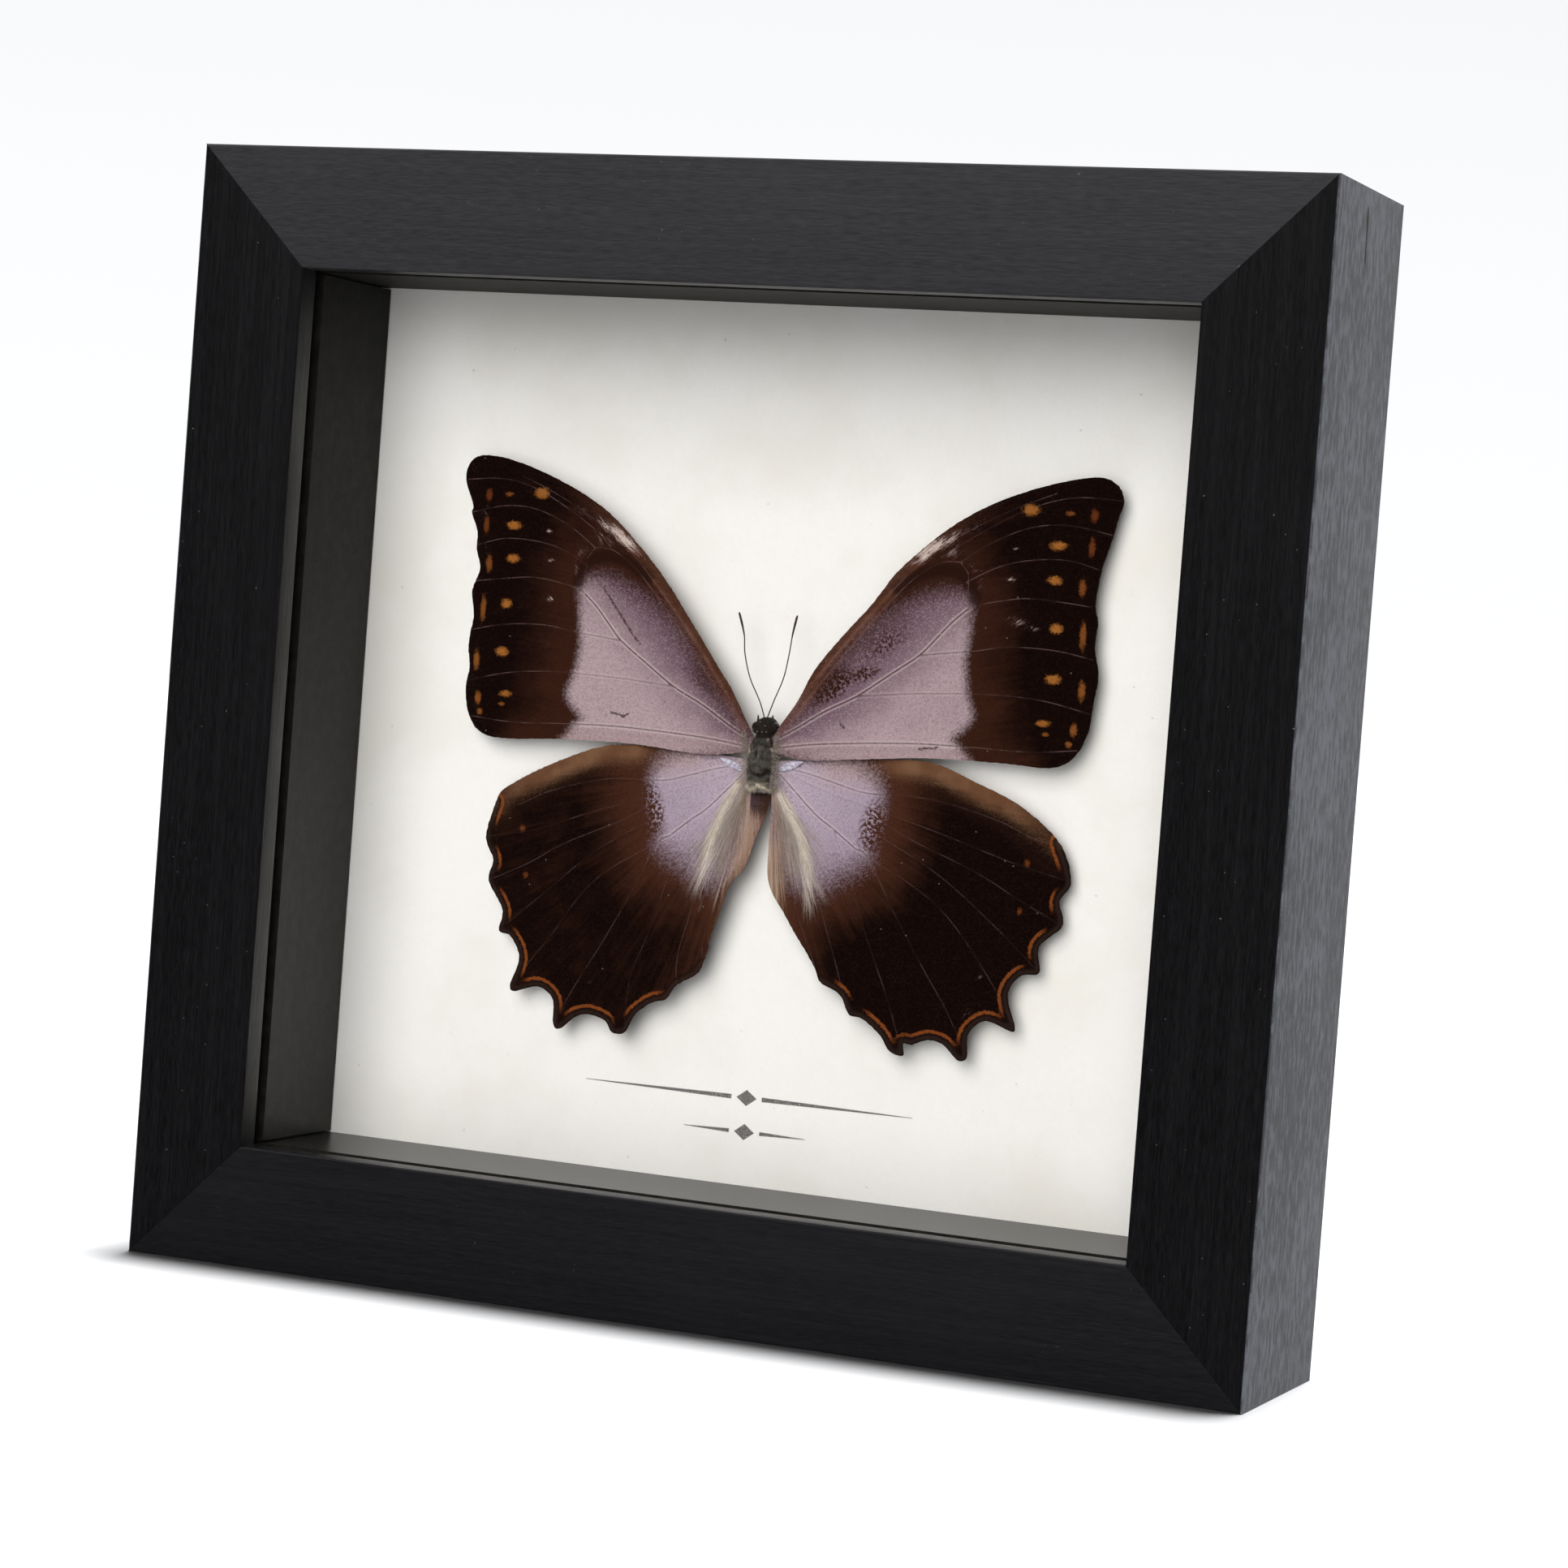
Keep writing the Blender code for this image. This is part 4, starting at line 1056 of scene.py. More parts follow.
def wing_hairs(plan, count, radius, finish):
    """Fine hairs combed outwards over the inner part of a hindwing, thick along its bright ridge."""
    random = plan.random
    loop = smooth_path(plan.outline, 1.0, closed=True)
    # Hairs along the ridge.
    ridge_count = int(count * 0.55)
    share = random.uniform(0.0, 0.74, ridge_count) * (len(plan.ridge_path) - 1)
    low = share.astype(int)
    tangent = np.gradient(plan.ridge_path, axis=0)[low]
    tangent /= np.linalg.norm(tangent, axis=1)[:, None]
    normal = np.c_[-tangent[:, 1], tangent[:, 0]]
    spread = random.normal(0.0, 0.34, (ridge_count, 1))
    start = plan.ridge_path[low] + tangent * (share - low)[:, None] * 0.5 + normal * spread
    course = tangent + normal * (spread * 0.06 + random.normal(0.0, 0.07, (ridge_count, 1)))
    length = random.uniform(2.2, 5.0, ridge_count)

    # Hairs that fan out from the root.
    fan_count = count - ridge_count
    angle = np.radians(random.normal(22.0, 9.0, fan_count).clip(3.0, 48.0))
    out = random.uniform(0.5, 13.0, fan_count)
    fan = np.c_[np.sin(angle), -np.cos(angle)]
    start = np.r_[start, np.array([2.0, -2.4]) + fan * out[:, None]]
    course = np.r_[course, fan + random.normal(0.0, 0.05, (fan_count, 2))]
    length = np.r_[length, random.uniform(2.4, 6.0, fan_count)]
    end = start + course * length[:, None]
    ok = inside(start, loop) & inside(end, loop)
    if plan.side < 0:
        ok &= plan.past_fold(*start.T) > 0.2
    bright = np.r_[random.uniform(0.4, 1.0, ridge_count), random.uniform(0.0, 0.5, fan_count)][ok]
    start, end = start[ok], end[ok]
    near = plan.sheet(start[:, 0]) - (0.16 + plan.ridge_height(start))
    far = plan.sheet(end[:, 0]) - random.uniform(0.2, 0.75, len(end))
    a = np.c_[wing_to_world(start[:, 0], start[:, 1], near, plan.side)]
    b = np.c_[wing_to_world(end[:, 0], end[:, 1], far, plan.side)]
    slope, _ = fan_place(start)
    warm = rise(slope, 18.0, 9.0) * 0.8
    warm += rise(start[:, 1], -15.0, -23.0) * 0.35
    bright *= rise(start[:, 1], -22.0, -13.0, least=0.2)
    values = {"tint": bright, "warmth": warm.clip(0.0, 1.0)}
    lengths = np.linalg.norm(b - a, axis=1)
    hairs = strands(f"{plan.name}_hairs", a, b - a, lengths, radius, 0.05, values, random)
    put_on(hairs, finish)
    return hairs


def root_tufts(finish, count, radius):
    """Loose cream and grey hairs where the four wings join the body."""
    random = np.random.default_rng(31)
    side = np.where(random.random(count) < 0.5, -1, 1)
    y = random.uniform(-3.4, 4.6, count)
    x = 1.8 + random.exponential(0.55, count).clip(0.0, 2.2) + np.clip(y - 2.0, 0.0, 3.0) * 0.2
    course = np.radians(random.normal(0.0, 38.0, count) + y * 16.0 - 4.0)
    length = random.uniform(0.35, 1.25, count)
    a = np.c_[wing_to_world(x, y, 0.15 - random.uniform(0.0, 1.0, count), side)]
    b = np.c_[wing_to_world(x + np.cos(course) * length, y + np.sin(course) * length,
                            0.1 - random.uniform(0.1, 0.7, count), side)]
    values = {"tint": random.uniform(0.0, 1.0, count) ** 1.4, "warmth": random.uniform(0.0, 0.7, count)}
    tufts = strands("wing_root_tufts", a, b - a, length, radius, 0.2, values, random)
    put_on(tufts, finish)
    return tufts


def build_plate(name, side, ends, half_width, finish):
    """A small pearly scale plate at the root of a hindwing."""
    verts, faces = [], []
    (ax, ay), (bx, by) = ends
    run = Vector((bx - ax, by - ay))
    across = Vector((-run.y, run.x)).normalized()
    columns, rows = 16, 8
    for i in range(columns + 1):
        u = i / columns
        width = half_width * max(0.02, math.sin(math.pi * u ** 0.8)) ** 0.8
        for j in range(rows + 1):
            v = 2.0 * j / rows - 1.0
            point = Vector((ax, ay)) + run * u + across * (width * v)
            depth = 0.55 - 0.28 * (1.0 - v * v) * math.sin(math.pi * u)
            verts.append(wing_to_world(point.x, point.y, depth, side))
    for i in range(columns):
        for j in range(rows):
            a = i * (rows + 1) + j
            faces.append((a, a + rows + 1, a + rows + 2, a + 1))
    plate = new_mesh_object(name, verts, faces)
    apply_modifier(plate, "SOLIDIFY", thickness=0.09 * MM, offset=0.0)
    face_outwards(plate)
    shade_round(plate, 60.0)
    put_on(plate, finish)
    return plate


# Rings of the body: height, half width and half depth.
BODY_RINGS = [
    (7.5, 0.6, 0.7), (7.1, 1.3, 1.3), (6.4, 1.9, 1.8), (5.6, 2.0, 2.0), (4.9, 1.7, 1.9),
    (4.3, 1.8, 2.2), (3.2, 2.2, 2.9), (1.8, 2.35, 3.3), (0.2, 2.4, 3.4), (-1.4, 2.3, 3.2),
    (-2.5, 2.15, 2.8), (-3.1, 2.5, 2.5), (-3.6, 2.4, 2.0), (-3.9, 1.7, 1.6), (-4.3, 0.8, 0.9)]
BODY_CENTRE = 1.3                   # depth of the body's axis behind the wing plane
BODY_TURN = 0.04                    # how far the axis leans to the right for each millimetre up


def body_point(height, angle, swell=1.0):
    """A point on the body's skin: height on its axis, and the way round from the right side."""
    rings = np.array(BODY_RINGS)
    order = np.argsort(rings[:, 0])
    half_width = np.interp(height, rings[order, 0], rings[order, 1]) * swell
    half_depth = np.interp(height, rings[order, 0], rings[order, 2]) * swell
    x = BODY_TURN * height + half_width * np.cos(angle)
    return x, BODY_CENTRE + half_depth * np.sin(angle)


# The thorax's curved suture, and its pale strands.
THORAX_ARC = [(-1.15, -0.1), (-0.75, -0.85), (0.1, -1.2), (1.0, -1.1), (1.6, -0.5)]
THORAX_STRANDS = [[(-1.75, 4.1), (-1.8, 3.1), (-1.45, 2.1)], [(1.2, 4.2), (1.55, 3.3)],
                  [(1.8, 2.9), (1.95, 2.5)], [(2.3, 2.6), (2.1, 2.0)]]


def body_fields(x, y):
    """Relief in millimetres, creaminess and darkness of the body's front at places on it."""
    points = np.c_[x, y]
    arc = distance_to(points, smooth_path(THORAX_ARC, 0.2, closed=False))
    slit = np.exp(-((x + 0.05) / 0.17) ** 2 - ((y - 1.9) / 0.6) ** 4)
    dome = np.exp(-((x - 0.45) / 1.3) ** 2 - ((y - 1.0) / 1.6) ** 2)
    strand = np.full(len(x), 9.0)
    for path in THORAX_STRANDS:
        strand = np.minimum(strand, distance_to(points, smooth_path(path, 0.2, closed=False)))
    collar_y = -3.25 + 0.22 * np.sin(x * 2.6 + 0.7) + 0.1 * np.sin(x * 7.0)
    collar = bell(y - collar_y, 0.34)
    pad = np.exp(-((np.abs(x - 0.3) - 1.25) / 0.6) ** 2 - ((y - 3.9) / 0.55) ** 2)
    relief = (0.34 * dome - 0.55 * slit - 0.32 * bell(arc, 0.24)
              + 0.25 * bell(strand, 0.2) + 0.5 * collar + 0.3 * pad
              - 0.3 * bell(y - 4.8, 0.3))
    relief += 0.07 * soft_waves(points, 3, 1.3) + 0.05 * soft_waves(points, 4, 0.55)
    cream = bell(strand, 0.22) * 0.9 + collar + 0.45 * bell(y + 2.5, 0.4)
    gloom = slit + bell(arc, 0.3) + rise(y, 4.3, 4.9)
    gloom += 0.5 * rise(y, 2.2, 3.4) + np.clip((-y - 3.7) / 0.3, 0.0, 0.9)
    gloom += 0.75 * np.exp(-((x - 1.9) / 0.55) ** 2 - ((y - 3.6) / 0.8) ** 2)
    gloom += 0.8 * np.exp(-((x - 2.1) / 0.4) ** 2 - ((y + 0.4) / 0.7) ** 2)
    return relief, cream.clip(0.0, 1.0), gloom.clip(0.0, 1.0)


def tube_faces(rings, sides):
    """The skin and the two ends of a tube whose points come ring by ring."""
    faces = []
    for i in range(rings - 1):
        for k in range(sides):
            n = (k + 1) % sides
            faces.append((i * sides + k, (i + 1) * sides + k, (i + 1) * sides + n, i * sides + n))
    faces.append(tuple(range(sides)))
    faces.append(tuple(reversed(range((rings - 1) * sides, rings * sides))))
    return faces


def build_body(finish, eyes):
    """Head, thorax and stump as one lofted skin with its sutures, and two round eyes."""
    heights = np.linspace(7.45, -4.25, 120)
    sides = 72
    angles = np.arange(sides) * 2 * math.pi / sides
    grid_y, grid_angle = (g.ravel() for g in np.meshgrid(heights, angles, indexing="ij"))
    x, depth = body_point(grid_y, grid_angle, swell=0.93)
    relief, cream, gloom = body_fields(x, grid_y)
    front = np.clip(-np.sin(grid_angle) * 2.0, 0.0, 1.0)
    x = x + np.cos(grid_angle) * relief * front * 0.6
    depth = depth + np.sin(grid_angle) * relief * front
    verts = np.c_[wing_to_world(x, grid_y, depth, 1)]
    values = {"cream": cream * front, "gloom": gloom}
    body = new_mesh_object("body_skin", verts, tube_faces(len(heights), sides), values)
    put_on(body, finish)
    shade_round(body, 60.0)

    pair = []
    for side in (-1, 1):
        bpy.ops.object.select_all(action="DESELECT")
        place = wing_to_world(side * 1.5 + 0.25, 5.85, 0.75, 1)
        bpy.ops.mesh.primitive_uv_sphere_add(segments=40, ring_count=24, radius=1.0, location=[0, 0, 0])
        eye = bpy.context.active_object
        bpy.ops.object.mode_set(mode="EDIT")
        bpy.ops.mesh.select_all(action="SELECT")
        bpy.ops.transform.resize(value=(0.70 * MM, 0.95 * MM, 0.93 * MM))
        bpy.ops.transform.translate(value=tuple(c * MM for c in place))
        bpy.ops.object.mode_set(mode="OBJECT")
        eye.name = "eye_left" if side < 0 else "eye_right"
        put_on(eye, eyes)
        shade_round(eye)
        pair.append(eye)
    return body, pair


def body_fur(name, finish, count, low, high, length, radius, tint, seed, lay):
    """Short hairs over the front of the body, as light or dark as the skin; lay points them down."""
    random = np.random.default_rng(seed)
    height = random.uniform(low, high, count)
    angle = np.radians(random.uniform(175.0, 365.0, count))
    x, depth = body_point(height, angle, swell=0.92)
    relief, cream, gloom = body_fields(x, height)
    depth = depth + np.sin(angle) * relief.clip(-0.6, 0.5) * 0.9
    outer_x, outer_depth = body_point(height, angle, swell=1.5)
    root = np.c_[wing_to_world(x, height, depth, 1)]
    away = np.c_[wing_to_world(outer_x, height, outer_depth, 1)] - root
    away /= np.linalg.norm(away, axis=1)[:, None]
    direction = away * random.uniform(0.3, 1.0, (count, 1)) + np.array([0.0, 0.0, -lay])
    direction += random.normal(0, 0.35, (count, 3))
    lengths = random.uniform(0.5, 1.0, count) * length * (1.0 - 0.5 * gloom)
    patchy = soft_waves(np.c_[x, height], 6, 0.9)
    tints = tint + random.uniform(-0.12, 0.2, count) + 0.16 * patchy + 0.75 * cream - 0.35 * gloom
    values = {"tint": tints.clip(0.0, 1.0), "warmth": random.uniform(0.0, 0.35, count)}
    fur = strands(name, root, direction, lengths, radius, 0.15, values, random)
    put_on(fur, finish)
    return fur


def head_tufts(finish):
    """Two pointed tufts over the eyes and small pale ones between them."""
    random = np.random.default_rng(41)
    roots, ways, lengths, tints = [], [], [], []
    # Each bunch: centre, depth, length, number of hairs, tint and spread.
    bunches = [(-0.95, 6.75, 0.5, 0.95, 46, 0.03, 0.12), (1.4, 6.85, 0.5, 0.95, 46, 0.03, 0.12)]
    bunches += [(cx, cy, -0.7, 0.2, 10, 0.8, 0.06) for cx, cy in
                ((-0.1, 6.7), (0.7, 6.2), (-0.5, 5.2), (0.25, 5.2), (1.0, 5.3), (-1.1, 5.5))]
    for cx, cy, depth, length, count, tint, spread in bunches:
        for _ in range(count):
            dx, dy = random.normal(0.0, spread, 2)
            roots.append(wing_to_world(cx + dx, cy + dy, depth, 1))
            pale = tint > 0.5
            ways.append((-dx * 1.2 if not pale else dx, -0.8 if pale else random.uniform(-0.5, 0.1),
                         random.uniform(-0.6, 0.3) if pale else 1.2))
            lengths.append(length * random.uniform(0.7, 1.1))
            tints.append(tint)
    values = {"tint": np.array(tints), "warmth": np.full(len(tints), 0.3)}
    tufts = strands("head_tufts", np.array(roots), np.array(ways), np.array(lengths), 0.035, 0.05, values,
                    random)
    put_on(tufts, finish)
    return tufts


def build_antenna(name, points, finish):
    """A thin feeler on its curve, with fine joints and a thicker tip."""
    path = smooth_path(points, 0.22, closed=False)
    sides = 10
    verts = []
    total = len(path)
    for i, point in enumerate(path):
        ahead = path[min(i + 1, total - 1)] - path[max(i - 1, 0)]
        ahead = ahead / np.linalg.norm(ahead)
        normal = np.array([-ahead[1], ahead[0]])
        share = i / (total - 1)
        # The club swells near the end and closes at the tip.
        radius = 0.088 + 0.085 * rise(share, 0.76, 0.9)
        radius -= 0.07 * rise(share, 0.96, 1.0)
        radius *= 1.0 + 0.07 * (i % 2)
        for k in range(sides):
            turn = 2 * math.pi * k / sides
            x, y = point + normal * math.cos(turn) * radius
            verts.append(wing_to_world(x, y, 0.5 + math.sin(turn) * radius, 1))
    antenna = new_mesh_object(name, np.array(verts), tube_faces(total, sides))
    put_on(antenna, finish)
    shade_round(antenna, 50.0)
    return antenna


def face_outwards(obj):
    """Turn the faces of an object outwards."""
    select_only(obj)
    bpy.ops.object.mode_set(mode="EDIT")
    bpy.ops.mesh.select_all(action="SELECT")
    bpy.ops.mesh.normals_make_consistent(inside=False)
    bpy.ops.object.mode_set(mode="OBJECT")


def build_rail(side, finish):
    """A mitred rail with its rebate; its long arrises are eased and its mitres are tight."""
    level = side in ("top", "bottom")
    half = (WIDTH if level else HEIGHT) / 2.0
    # The section: inwards from the outer side, and back from the front face.
    section = [(0.0, 0.0), (FACE_WIDTH, 0.0), (FACE_WIDTH, LIP_DEPTH), (WALL_WIDTH, LIP_DEPTH),
               (WALL_WIDTH, DEPTH), (0.0, DEPTH)]
    verts = []
    for end in (-1, 1):
        for inward, depth in section:
            along = end * (half - inward - MITRE_GAP)
            if level:
                height = inward if side == "bottom" else HEIGHT - inward
                verts.append((along, FRONT_Y + depth, height))
            else:
                across = inward - WIDTH / 2 if side == "left" else WIDTH / 2 - inward
                verts.append((across, FRONT_Y + depth, HEIGHT / 2 + along))
    count = len(section)
    faces = [tuple(range(count)), tuple(reversed(range(count, 2 * count)))]
    faces += [(i, (i + 1) % count, (i + 1) % count + count, i + count) for i in range(count)]
    rail = new_mesh_object(f"rail_{side}", verts, faces)
    face_outwards(rail)
    weights = rail.data.attributes.new("bevel_weight_edge", "FLOAT", "EDGE")
    for edge in rail.data.edges:
        a, b = sorted(edge.vertices)
        # Edges along the rail join a point to its twin at the other end.
        weights.data[edge.index].value = 1.0 if b == a + count else MITRE_EASE
    apply_modifier(rail, "BEVEL", width=ARRIS * MM, segments=3, limit_method="WEIGHT")
    shade_round(rail, 30.0)
    put_on(rail, finish)
    return rail


class SpecimenFrameSettings(bpy.types.PropertyGroup):
    """What a user may change on the frame."""

    wood_lightness: bpy.props.FloatProperty(
        name="Wood lightness", description="Brightness of the black stain", default=1.0, min=0.2, max=4.0)


class SpecimenCardSettings(bpy.types.PropertyGroup):
    """What a user may change on the card."""

    card_colour: bpy.props.FloatVectorProperty(
        name="Card colour", description="Colour of the card", default=(0.82, 0.80, 0.785), size=3,
        subtype="COLOR", min=0.0, max=1.0)
    card_mottle: bpy.props.FloatVectorProperty(
        name="Card mottle", description="Colour of the card's faint clouds", default=(0.77, 0.745, 0.705),
        size=3, subtype="COLOR", min=0.0, max=1.0)
    ornament_height: bpy.props.FloatProperty(
        name="Ornament height", description="Height of the upper printed rule above the base, in millimetres",
        default=31.6)


class SpecimenWingSettings(bpy.types.PropertyGroup):
    """What a user may change on the butterfly."""

    wing_spacing: bpy.props.FloatProperty(
        name="Wing spacing", description="Distance between the points of a wing's mesh, in millimetres",
        default=0.3, min=0.2, max=2.0)
    hair_count: bpy.props.IntProperty(
        name="Wing hairs", description="Hairs tried on each hindwing", default=1900, min=0, max=8000)
    hair_radius: bpy.props.FloatProperty(
        name="Hair radius", description="Radius of a hair at its root, in millimetres", default=0.017)


class SPECIMEN_OT_frame(bpy.types.Operator):
    """Finish the rails, spacers and glass"""

    bl_idname = "specimen.frame"
    bl_label = "Frame and glass"

    def execute(self, context):
        lightness = context.scene.specimen_frame.wood_lightness
        level = black_wood_finish("black_wood_level", 0, lightness)
        # The uprights get a darker copy of the stain: painted shade.
        upright = black_wood_finish("black_wood_upright", 2, lightness * UPRIGHT_SHADE_SHARE)
        for side in ("top", "bottom", "left", "right"):
            rail = build_rail(side, level if side in ("top", "bottom") else upright)
            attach(rail, "root")
            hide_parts(f"frame_rail_{side}")
        dull = spacer_finish()
        for side in ("top", "bottom", "left", "right"):
            put_on(NODES[f"spacer_{side}"], dull)
        put_on(NODES["glass_pane"], glass_finish())
        # Shadow rays pass the pane, so the lamps light the card straight through it.
        NODES["glass_pane"].visible_shadow = False
        return {"FINISHED"}


class SPECIMEN_OT_card(bpy.types.Operator):
    """Finish the card and print its ornament"""

    bl_idname = "specimen.card"
    bl_label = "Card"

    def execute(self, context):
        put_on(NODES["backing_card"], card_finish(context.scene.specimen_card))
        return {"FINISHED"}


class SPECIMEN_OT_back(bpy.types.Operator):
    """Finish the back board, its points and the hanger"""

    bl_idname = "specimen.back"
    bl_label = "Back"

    def execute(self, context):
        put_on(NODES["back_board"], hardboard_finish())
        steel = steel_finish()
        for name, node in NODES.items():
            if name.startswith(("point_", "hanger_", "sawtooth_")):
                put_on(node, steel)
        return {"FINISHED"}


class SPECIMEN_OT_wings(bpy.types.Operator):
    """Make the four wings and the hairs on the hindwings"""

    bl_idname = "specimen.wings"
    bl_label = "Wings"

    def execute(self, context):
        settings = context.scene.specimen_wings
        fore = wing_finish("forewing_scales", hind=False)
        hind = wing_finish("hindwing_scales", hind=True)
        hair = fur_finish("wing_hair", (0.26, 0.20, 0.185), (0.80, 0.72, 0.62), (0.30, 0.185, 0.12))
        plans = [
            WingPlan("forewing_right", RIGHT_FOREWING, side=1, hind=False, seed=11),
            WingPlan("forewing_left", LEFT_FOREWING, side=-1, hind=False, seed=12),
            WingPlan("hindwing_right", RIGHT_HINDWING, side=1, hind=True, seed=13),
            WingPlan("hindwing_left", LEFT_HINDWING, side=-1, hind=True, seed=14)]
        for plan in plans:
            solid = plan.name
            plan.name = f"{plan.name}_scales"
            wing = build_wing(plan, settings.wing_spacing, hind if plan.hind else fore)
            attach(wing, "root")
            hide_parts(solid)
            if plan.hind:
                hairs = wing_hairs(plan, settings.hair_count, settings.hair_radius, hair)
                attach(hairs, "root")
        return {"FINISHED"}


class SPECIMEN_OT_body(bpy.types.Operator):
    """Make the body, its eyes, its fur and the antennae"""

    bl_idname = "specimen.body"
    bl_label = "Body"

    def execute(self, context):
        body, eyes = build_body(body_finish(), eye_finish())
        face_outwards(body)
        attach(body, "root")
        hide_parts("butterfly_body")
        for eye in eyes:
            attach(eye, "root")
        grey = fur_finish("body_hair", (0.010, 0.008, 0.007), (0.50, 0.45, 0.37), (0.09, 0.062, 0.038))
        tuft = fur_finish("root_hair", (0.10, 0.085, 0.075), (0.52, 0.48, 0.43), (0.26, 0.18, 0.13))
        furs = [
            body_fur("thorax_fur", grey, count=4200, low=-2.6, high=4.4, length=0.5, radius=0.015, tint=0.2,
                     seed=21, lay=0.5),
            body_fur("head_fur", grey, count=900, low=4.6, high=7.2, length=0.4, radius=0.018, tint=-0.12,
                     seed=22, lay=-0.2),
            body_fur("collar_fur", grey, count=1500, low=-3.7, high=-2.7, length=0.6, radius=0.016, tint=0.5,
                     seed=23, lay=0.8),
            root_tufts(tuft, count=1500, radius=0.015),
            head_tufts(grey)]
        pearl = plate_finish()
        for side, ends in ((1, ((2.8, -0.3), (6.7, 1.1))), (-1, ((3.0, -0.7), (6.8, 0.9)))):
            plate = build_plate(f"root_plate_{'right' if side > 0 else 'left'}", side, ends, 0.55, pearl)
            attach(plate, "root")
        for fur in furs:
            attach(fur, "root")
        horn = antenna_finish()
        for side, points in (("right", RIGHT_ANTENNA), ("left", LEFT_ANTENNA)):
            antenna = build_antenna(f"antenna_{side}_fine", points, horn)
            face_outwards(antenna)
            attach(antenna, "root")
            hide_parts(f"antenna_{side}")
        return {"FINISHED"}


def link_to_floor(lamp, floor, state):
    """Have a lamp light only the floor (INCLUDE), or all but the floor (EXCLUDE)."""
    group = bpy.data.collections.new(f"{lamp.name}_reach")
    group.objects.link(floor)
    lamp.light_linking.receiver_collection = group
    group.collection_objects[0].light_linking.link_state = state


def add_sun(name, elevation, azimuth, spread, strength, mirrored=True, colour=(1.0, 1.0, 1.0)):
    """A broad, even light from far off; azimuth 0 is in front of the frame and 90 is on its right."""
    lamp = bpy.data.lights.new(name, "SUN")
    lamp.angle = math.radians(spread)
    lamp.energy = strength
    lamp.color = colour
    obj = bpy.data.objects.new(name, lamp)
    bpy.context.scene.collection.objects.link(obj)
    up, round_ = math.radians(elevation), math.radians(azimuth)
    source = Vector((math.sin(round_) * math.cos(up), -math.cos(round_) * math.cos(up), math.sin(up)))
    obj.rotation_mode = "QUATERNION"
    obj.rotation_quaternion = source.to_track_quat("Z", "Y")
    obj.visible_transmission = False
    obj.visible_glossy = mirrored
    return obj


def studio_world(front, behind, shown):
    """A white room that is dim in front of the frame, so that its glass mirrors little."""
    world = bpy.data.worlds.new("studio_room")
    world.use_nodes = True
    tree = world.node_tree
    background = tree.nodes["Background"]
    direction = tree.nodes.new("ShaderNodeTexCoord")
    split = tree.nodes.new("ShaderNodeSeparateXYZ")
    tree.links.new(direction.outputs["Generated"], split.inputs[0])
    x, y, z = (Value(tree, out) for out in split.outputs)
    bright = (y + z * 0.9 + x * 0.1).ramp(-0.15, 0.75)
    level = bright * (behind - front) + front
    path = Value(tree, tree.nodes.new("ShaderNodeLightPath").outputs["Is Camera Ray"])
    level = path * (shown - z.ramp(0.0, 0.3) * 0.12 - level) + level
    background.inputs["Color"].default_value = (0.98, 0.985, 1.0, 1.0)
    tree.links.new(level.socket, background.inputs["Strength"])
    bpy.context.scene.world = world


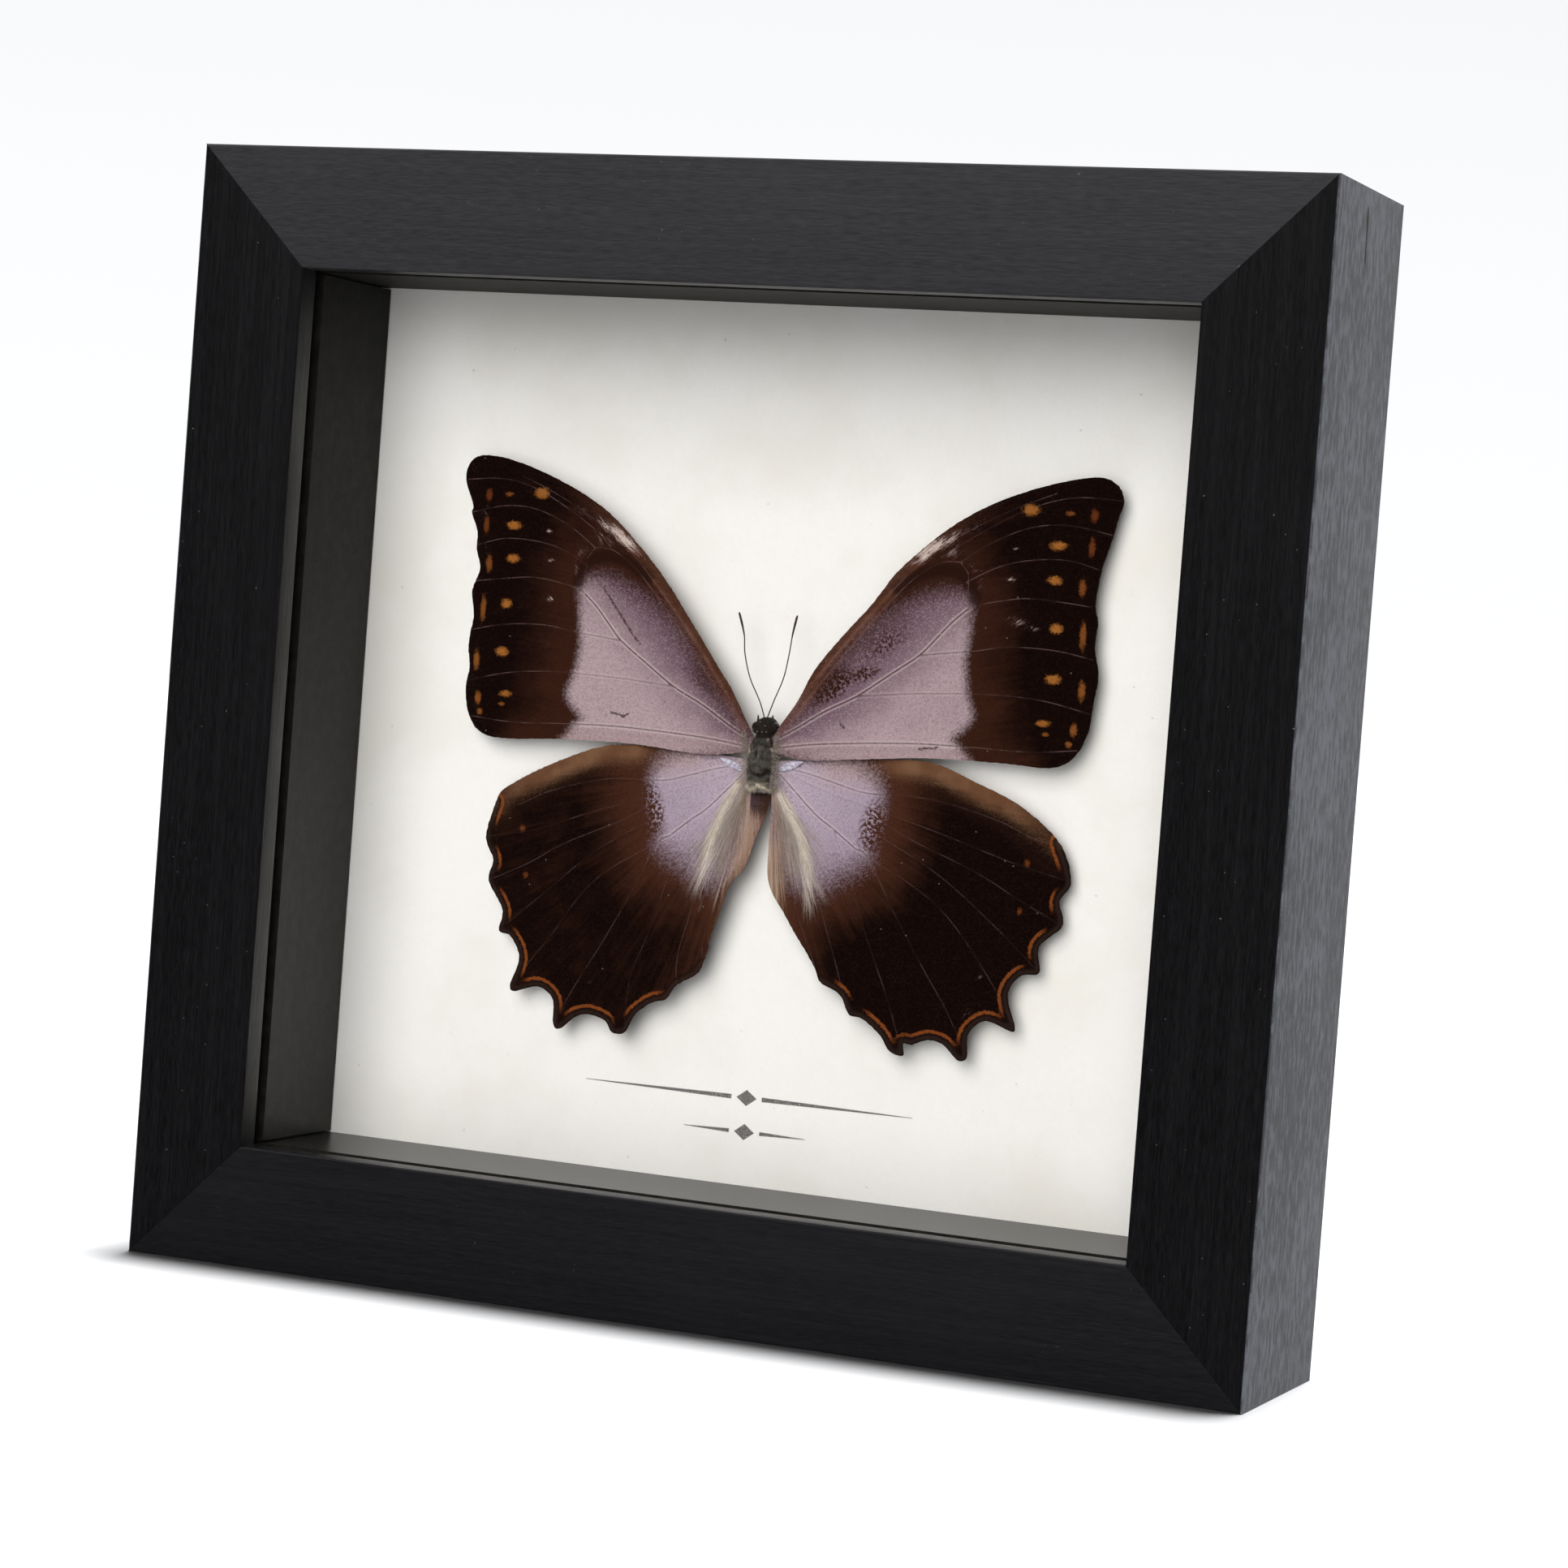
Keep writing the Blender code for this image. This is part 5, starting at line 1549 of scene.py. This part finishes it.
class SPECIMEN_OT_stage(bpy.types.Operator):
    """Make the pale floor, the lamps and the camera"""

    bl_idname = "specimen.stage"
    bl_label = "Stage"

    def execute(self, context):
        scene = context.scene
        floor_finish = Finish("pale_floor", roughness=0.7, Base_Color=(0.12, 0.1208, 0.122, 1.0))
        bpy.ops.object.select_all(action="DESELECT")
        bpy.ops.mesh.primitive_plane_add(size=8.0, location=(0, 0, 0))
        floor = context.active_object
        floor.name = "pale_floor"
        put_on(floor, floor_finish)
        # The glass and the stain mirror the dim room, not the floor.
        floor.visible_glossy = False
        floor.visible_transmission = False
        floor.visible_shadow = False

        studio_world(front=0.015, behind=1.15, shown=1.02)
        lamps = [
            add_sun("window_light", elevation=27.0, azimuth=-3.0, spread=46.0, strength=2.55,
                    mirrored=False, colour=(1.0, 0.985, 0.955)),
            add_sun("glint_light", elevation=40.0, azimuth=-20.0, spread=12.0, strength=0.12),
            add_sun("room_light", elevation=2.0, azimuth=3.0, spread=54.0, strength=2.0, mirrored=False),
            add_sun("floor_bounce", elevation=-25.0, azimuth=0.0, spread=70.0, strength=1.5,
                    mirrored=False)]
        for lamp in lamps:
            link_to_floor(lamp, floor, "EXCLUDE")
        # The overhead light stands a little behind, so the floor is dark along the frame's foot.
        overhead = add_sun("overhead_light", elevation=87.0, azimuth=165.0, spread=5.0, strength=32.0,
                           mirrored=False)
        link_to_floor(overhead, floor, "INCLUDE")

        lens = bpy.data.cameras.new("photo_view")
        lens.lens = CAMERA_LENS
        lens.sensor_width = 36.0
        camera = bpy.data.objects.new("photo_view", lens)
        scene.collection.objects.link(camera)
        ahead = Vector((-math.sin(CAMERA_YAW) * math.cos(CAMERA_PITCH),
                        math.cos(CAMERA_YAW) * math.cos(CAMERA_PITCH), -math.sin(CAMERA_PITCH)))
        right = Vector((math.cos(CAMERA_YAW), math.sin(CAMERA_YAW), 0.0))
        up = right.cross(ahead)
        rolled_right = right * math.cos(CAMERA_ROLL) + up * math.sin(CAMERA_ROLL)
        rolled_up = up * math.cos(CAMERA_ROLL) - right * math.sin(CAMERA_ROLL)
        turn = Matrix((rolled_right, rolled_up, -ahead)).transposed()
        camera.rotation_mode = "QUATERNION"
        camera.rotation_quaternion = turn.to_quaternion()
        camera.location = Vector(CAMERA_PLACE) * MM
        scene.camera = camera
        scene.view_settings.view_transform = "Standard"
        return {"FINISHED"}


class SPECIMEN_PT_sidebar(bpy.types.Panel):
    """The pieces of the specimen, in the order in which they are made"""

    bl_label = "Framed specimen"
    bl_idname = "SPECIMEN_PT_sidebar"
    bl_space_type = "VIEW_3D"
    bl_region_type = "UI"
    bl_category = "Specimen"

    def draw(self, context):
        scene = context.scene
        rows = (
            (scene.specimen_frame, ("wood_lightness",), ("specimen.frame", "specimen.back")),
            (scene.specimen_card, ("card_colour", "card_mottle", "ornament_height"), ("specimen.card",)),
            (scene.specimen_wings, ("wing_spacing", "hair_count", "hair_radius"),
             ("specimen.wings", "specimen.body")))
        for group, names, buttons in rows:
            box = self.layout.box()
            for name in names:
                box.prop(group, name)
            for button in buttons:
                box.operator(button)
        self.layout.operator("specimen.stage")


CLASSES = (
    SpecimenFrameSettings, SpecimenCardSettings, SpecimenWingSettings, SPECIMEN_OT_frame, SPECIMEN_OT_card,
    SPECIMEN_OT_back, SPECIMEN_OT_wings, SPECIMEN_OT_body, SPECIMEN_OT_stage, SPECIMEN_PT_sidebar)


def register():
    for cls in CLASSES:
        bpy.utils.register_class(cls)
    bpy.types.Scene.specimen_frame = bpy.props.PointerProperty(type=SpecimenFrameSettings)
    bpy.types.Scene.specimen_card = bpy.props.PointerProperty(type=SpecimenCardSettings)
    bpy.types.Scene.specimen_wings = bpy.props.PointerProperty(type=SpecimenWingSettings)


def unregister():
    del bpy.types.Scene.specimen_wings
    del bpy.types.Scene.specimen_card
    del bpy.types.Scene.specimen_frame
    for cls in reversed(CLASSES):
        bpy.utils.unregister_class(cls)


def main():
    register()
    bpy.ops.specimen.frame()
    bpy.ops.specimen.card()
    bpy.ops.specimen.back()
    bpy.ops.specimen.wings()
    bpy.ops.specimen.body()
    bpy.ops.specimen.stage()


if __name__ == "__main__":
    main()
